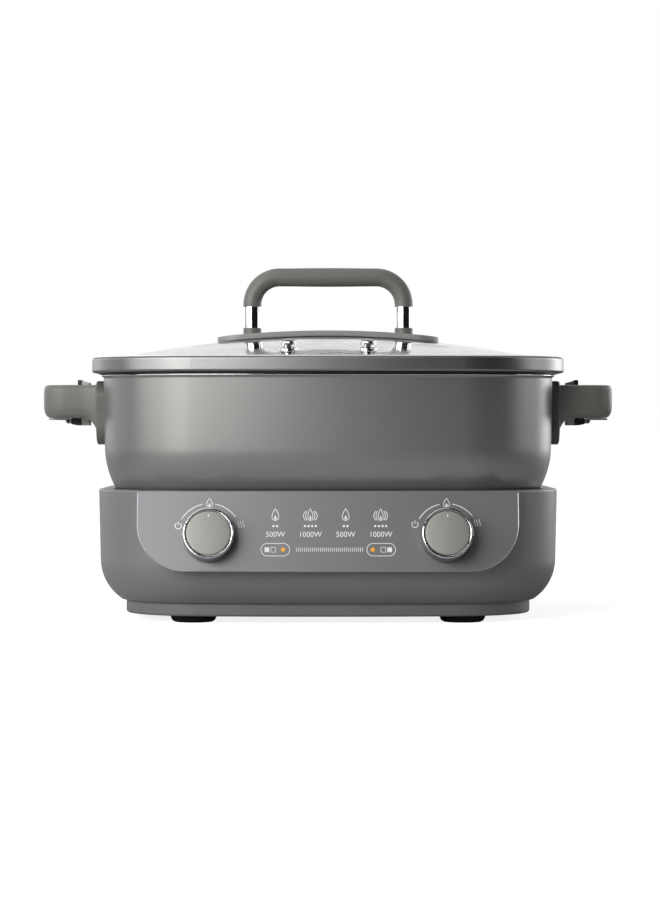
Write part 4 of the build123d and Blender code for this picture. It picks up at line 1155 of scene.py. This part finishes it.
side_run = bead_top - bead_bottom - bead_bend
half_outline = [(bead_x, bead_top - side_run * step / 6) for step in range(6)]
half_outline += arc((bead_x - bead_bend, bead_bottom + bead_bend), bead_bend, 0, -90, 25)
half_outline += [((bead_x - bead_bend) * (1 - step / 12), bead_bottom) for step in range(1, 13)]
outline = half_outline + [(-x, z) for x, z in reversed(half_outline[:-1])]
spots = [on_fascia(x, z, -bead_sink) for x, z in outline]
turns = [math.radians(36 * step) for step in range(10)]
rings = []
for index, spot in enumerate(spots):
    before = spots[max(index - 1, 0)]
    after = spots[min(index + 1, len(spots) - 1)]
    sideways = (after - before).normalized().cross(fascia_normal)
    outward = [fascia_normal * math.cos(a) + sideways * math.sin(a) for a in turns]
    rings.append([spot + push * (bead_radius / 1000) for push in outward])
finish_piece("fascia_edge_line", mesh_from_rings(rings), "base", edge_painted_highlight)

# %% [markdown]
# ## Floor, backdrop and light
#
# A white-out studio: the table and the wall behind are plain white, and six soft boxes light the object,
# the two strongest of them from the left front. In reflections the room's front is dark, which gives the
# satin coat its long fall from light to dark, and the white wall behind draws a bright edge where the
# surface turns away. The floor is an ordinary matt one. To camera it also glows, more so away from the
# object, so it reads as white without an horizon and still keeps the contact shadow. To reflections it
# glows only behind the object, and darkens with distance.

# %% What each kind of ray sees
pure_white = (1.0, 1.0, 1.0, 1.0)


def empty_tree(owner):
    """The node tree of a material or world, cleared."""
    owner.use_nodes = True
    owner.node_tree.nodes.clear()
    return owner.node_tree


def ray_kinds(tree):
    """Signals that are 1 for a camera's ray, for one through glass, and for a reflection."""
    kinds = tree.nodes.new("ShaderNodeLightPath").outputs
    return [Signal(tree, kinds[f"Is {kind} Ray"]) for kind in ("Camera", "Transmission", "Glossy")]


def coordinates(tree, kind):
    """A signal of one kind of texture coordinate."""
    return Signal(tree, tree.nodes.new("ShaderNodeTexCoord").outputs[kind])


print("stage helpers ready")

# %% Floor
floor_half = 60.0
floor_glow = 0.3
floor_near = (0.65, 0.65, 0.65, 1.0)
floor_far = (0.15, 0.15, 0.15, 1.0)
floor_mesh = bpy.data.meshes.new("floor")
corners = [(x * floor_half, y * floor_half, 0) for x, y in ((-1, -1), (1, -1), (1, 1), (-1, 1))]
floor_mesh.from_pydata(corners, [], [(0, 1, 2, 3)])
floor = bpy.data.objects.new("floor", floor_mesh)
bpy.context.scene.collection.objects.link(floor)
floor_paint = bpy.data.materials.new("white_floor")
floor_tree = empty_tree(floor_paint)
seen, through, mirrored = ray_kinds(floor_tree)
spot = coordinates(floor_tree, "Object")
reach = spot.node("ShaderNodeVectorMath", {"operation": "LENGTH"}, output=1, Vector=spot)
behind = spot.node("ShaderNodeSeparateXYZ", output=1, Vector=spot).step(0.0, 0.7)
white_glow = seen.math("MAXIMUM", seen, through) * (reach.step(0.3, 1.2) * 0.15 + 0.85)
strength = white_glow + mirrored * behind * floor_glow
glow = seen.node("ShaderNodeEmission", Color=pure_white, Strength=strength)
dimming = mirrored * reach.step(0.35, 1.0)
matt = seen.node("ShaderNodeBsdfDiffuse", Color=dimming.mix(floor_near, floor_far))
both = seen.node("ShaderNodeAddShader", Shader=matt, Shader_001=glow)
floor_out = floor_tree.nodes.new("ShaderNodeOutputMaterial")
floor_tree.links.new(both.socket, floor_out.inputs["Surface"])
floor_mesh.materials.append(floor_paint)
floor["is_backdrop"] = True
print("floor ready")

# %% Room
room_fill = 0.06
wall_glow = 0.95
front_glow = 0.01
world = bpy.data.worlds.new("studio")
bpy.context.scene.world = world
room = empty_tree(world)
seen, through, mirrored = ray_kinds(room)
direction = coordinates(room, "Generated")
depth = direction.node("ShaderNodeSeparateXYZ", output=1, Vector=direction)
wall_behind = depth.step(-0.1, 0.3)
reflected = wall_behind * (wall_glow - front_glow) + front_glow
white = seen.math("MAXIMUM", seen, through)
unseen = mirrored * (reflected - room_fill) + room_fill
level = white + (1.0 - white) * unseen
backdrop = seen.node("ShaderNodeBackground", Color=pure_white, Strength=level)
room_out = room.nodes.new("ShaderNodeOutputWorld")
room.links.new(backdrop.socket, room_out.inputs["Surface"])
print("room ready")


# %% Lamps
def soft_box(name, place, aim, width, height, power):
    """A rectangular soft light that faces a point."""
    data = bpy.data.lights.new(name, "AREA")
    data.shape = "RECTANGLE"
    data.size = width
    data.size_y = height
    data.energy = power
    lamp = bpy.data.objects.new(name, data)
    lamp.location = place
    lamp.rotation_euler = (Vector(aim) - Vector(place)).to_track_quat("-Z", "Y").to_euler()
    bpy.context.scene.collection.objects.link(lamp)
    return lamp


soft_box("key_left", (-0.87, -1.79, 0.66), (0, 0, 0.14), 1.15, 0.8, 19.0)
soft_box("side_left", (-1.65, -0.95, 0.66), (0, 0, 0.12), 1.3, 0.8, 13.0)
soft_box("top", (-0.45, -0.4, 1.4), (0, 0, 0.1), 1.2, 1.2, 6.5)
soft_box("edge_left", (-1.5, 1.4, 0.5), (0, 0, 0.12), 0.8, 0.9, 1.5)
soft_box("edge_right", (1.5, 1.3, 0.5), (0, 0, 0.12), 0.8, 0.9, 7.0)
soft_box("side_right", (1.95, -0.1, 0.6), (0, 0, 0.12), 0.8, 0.9, 3.5)
print("lamps ready")

finished_low, finished_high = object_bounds()
sizes = {"solids": [list(solid_low), list(solid_high)], "dressed": [list(finished_low), list(finished_high)]}
print("solids", [round(v, 4) for v in solid_high - solid_low])
print("dressed", [round(v, 4) for v in finished_high - finished_low])
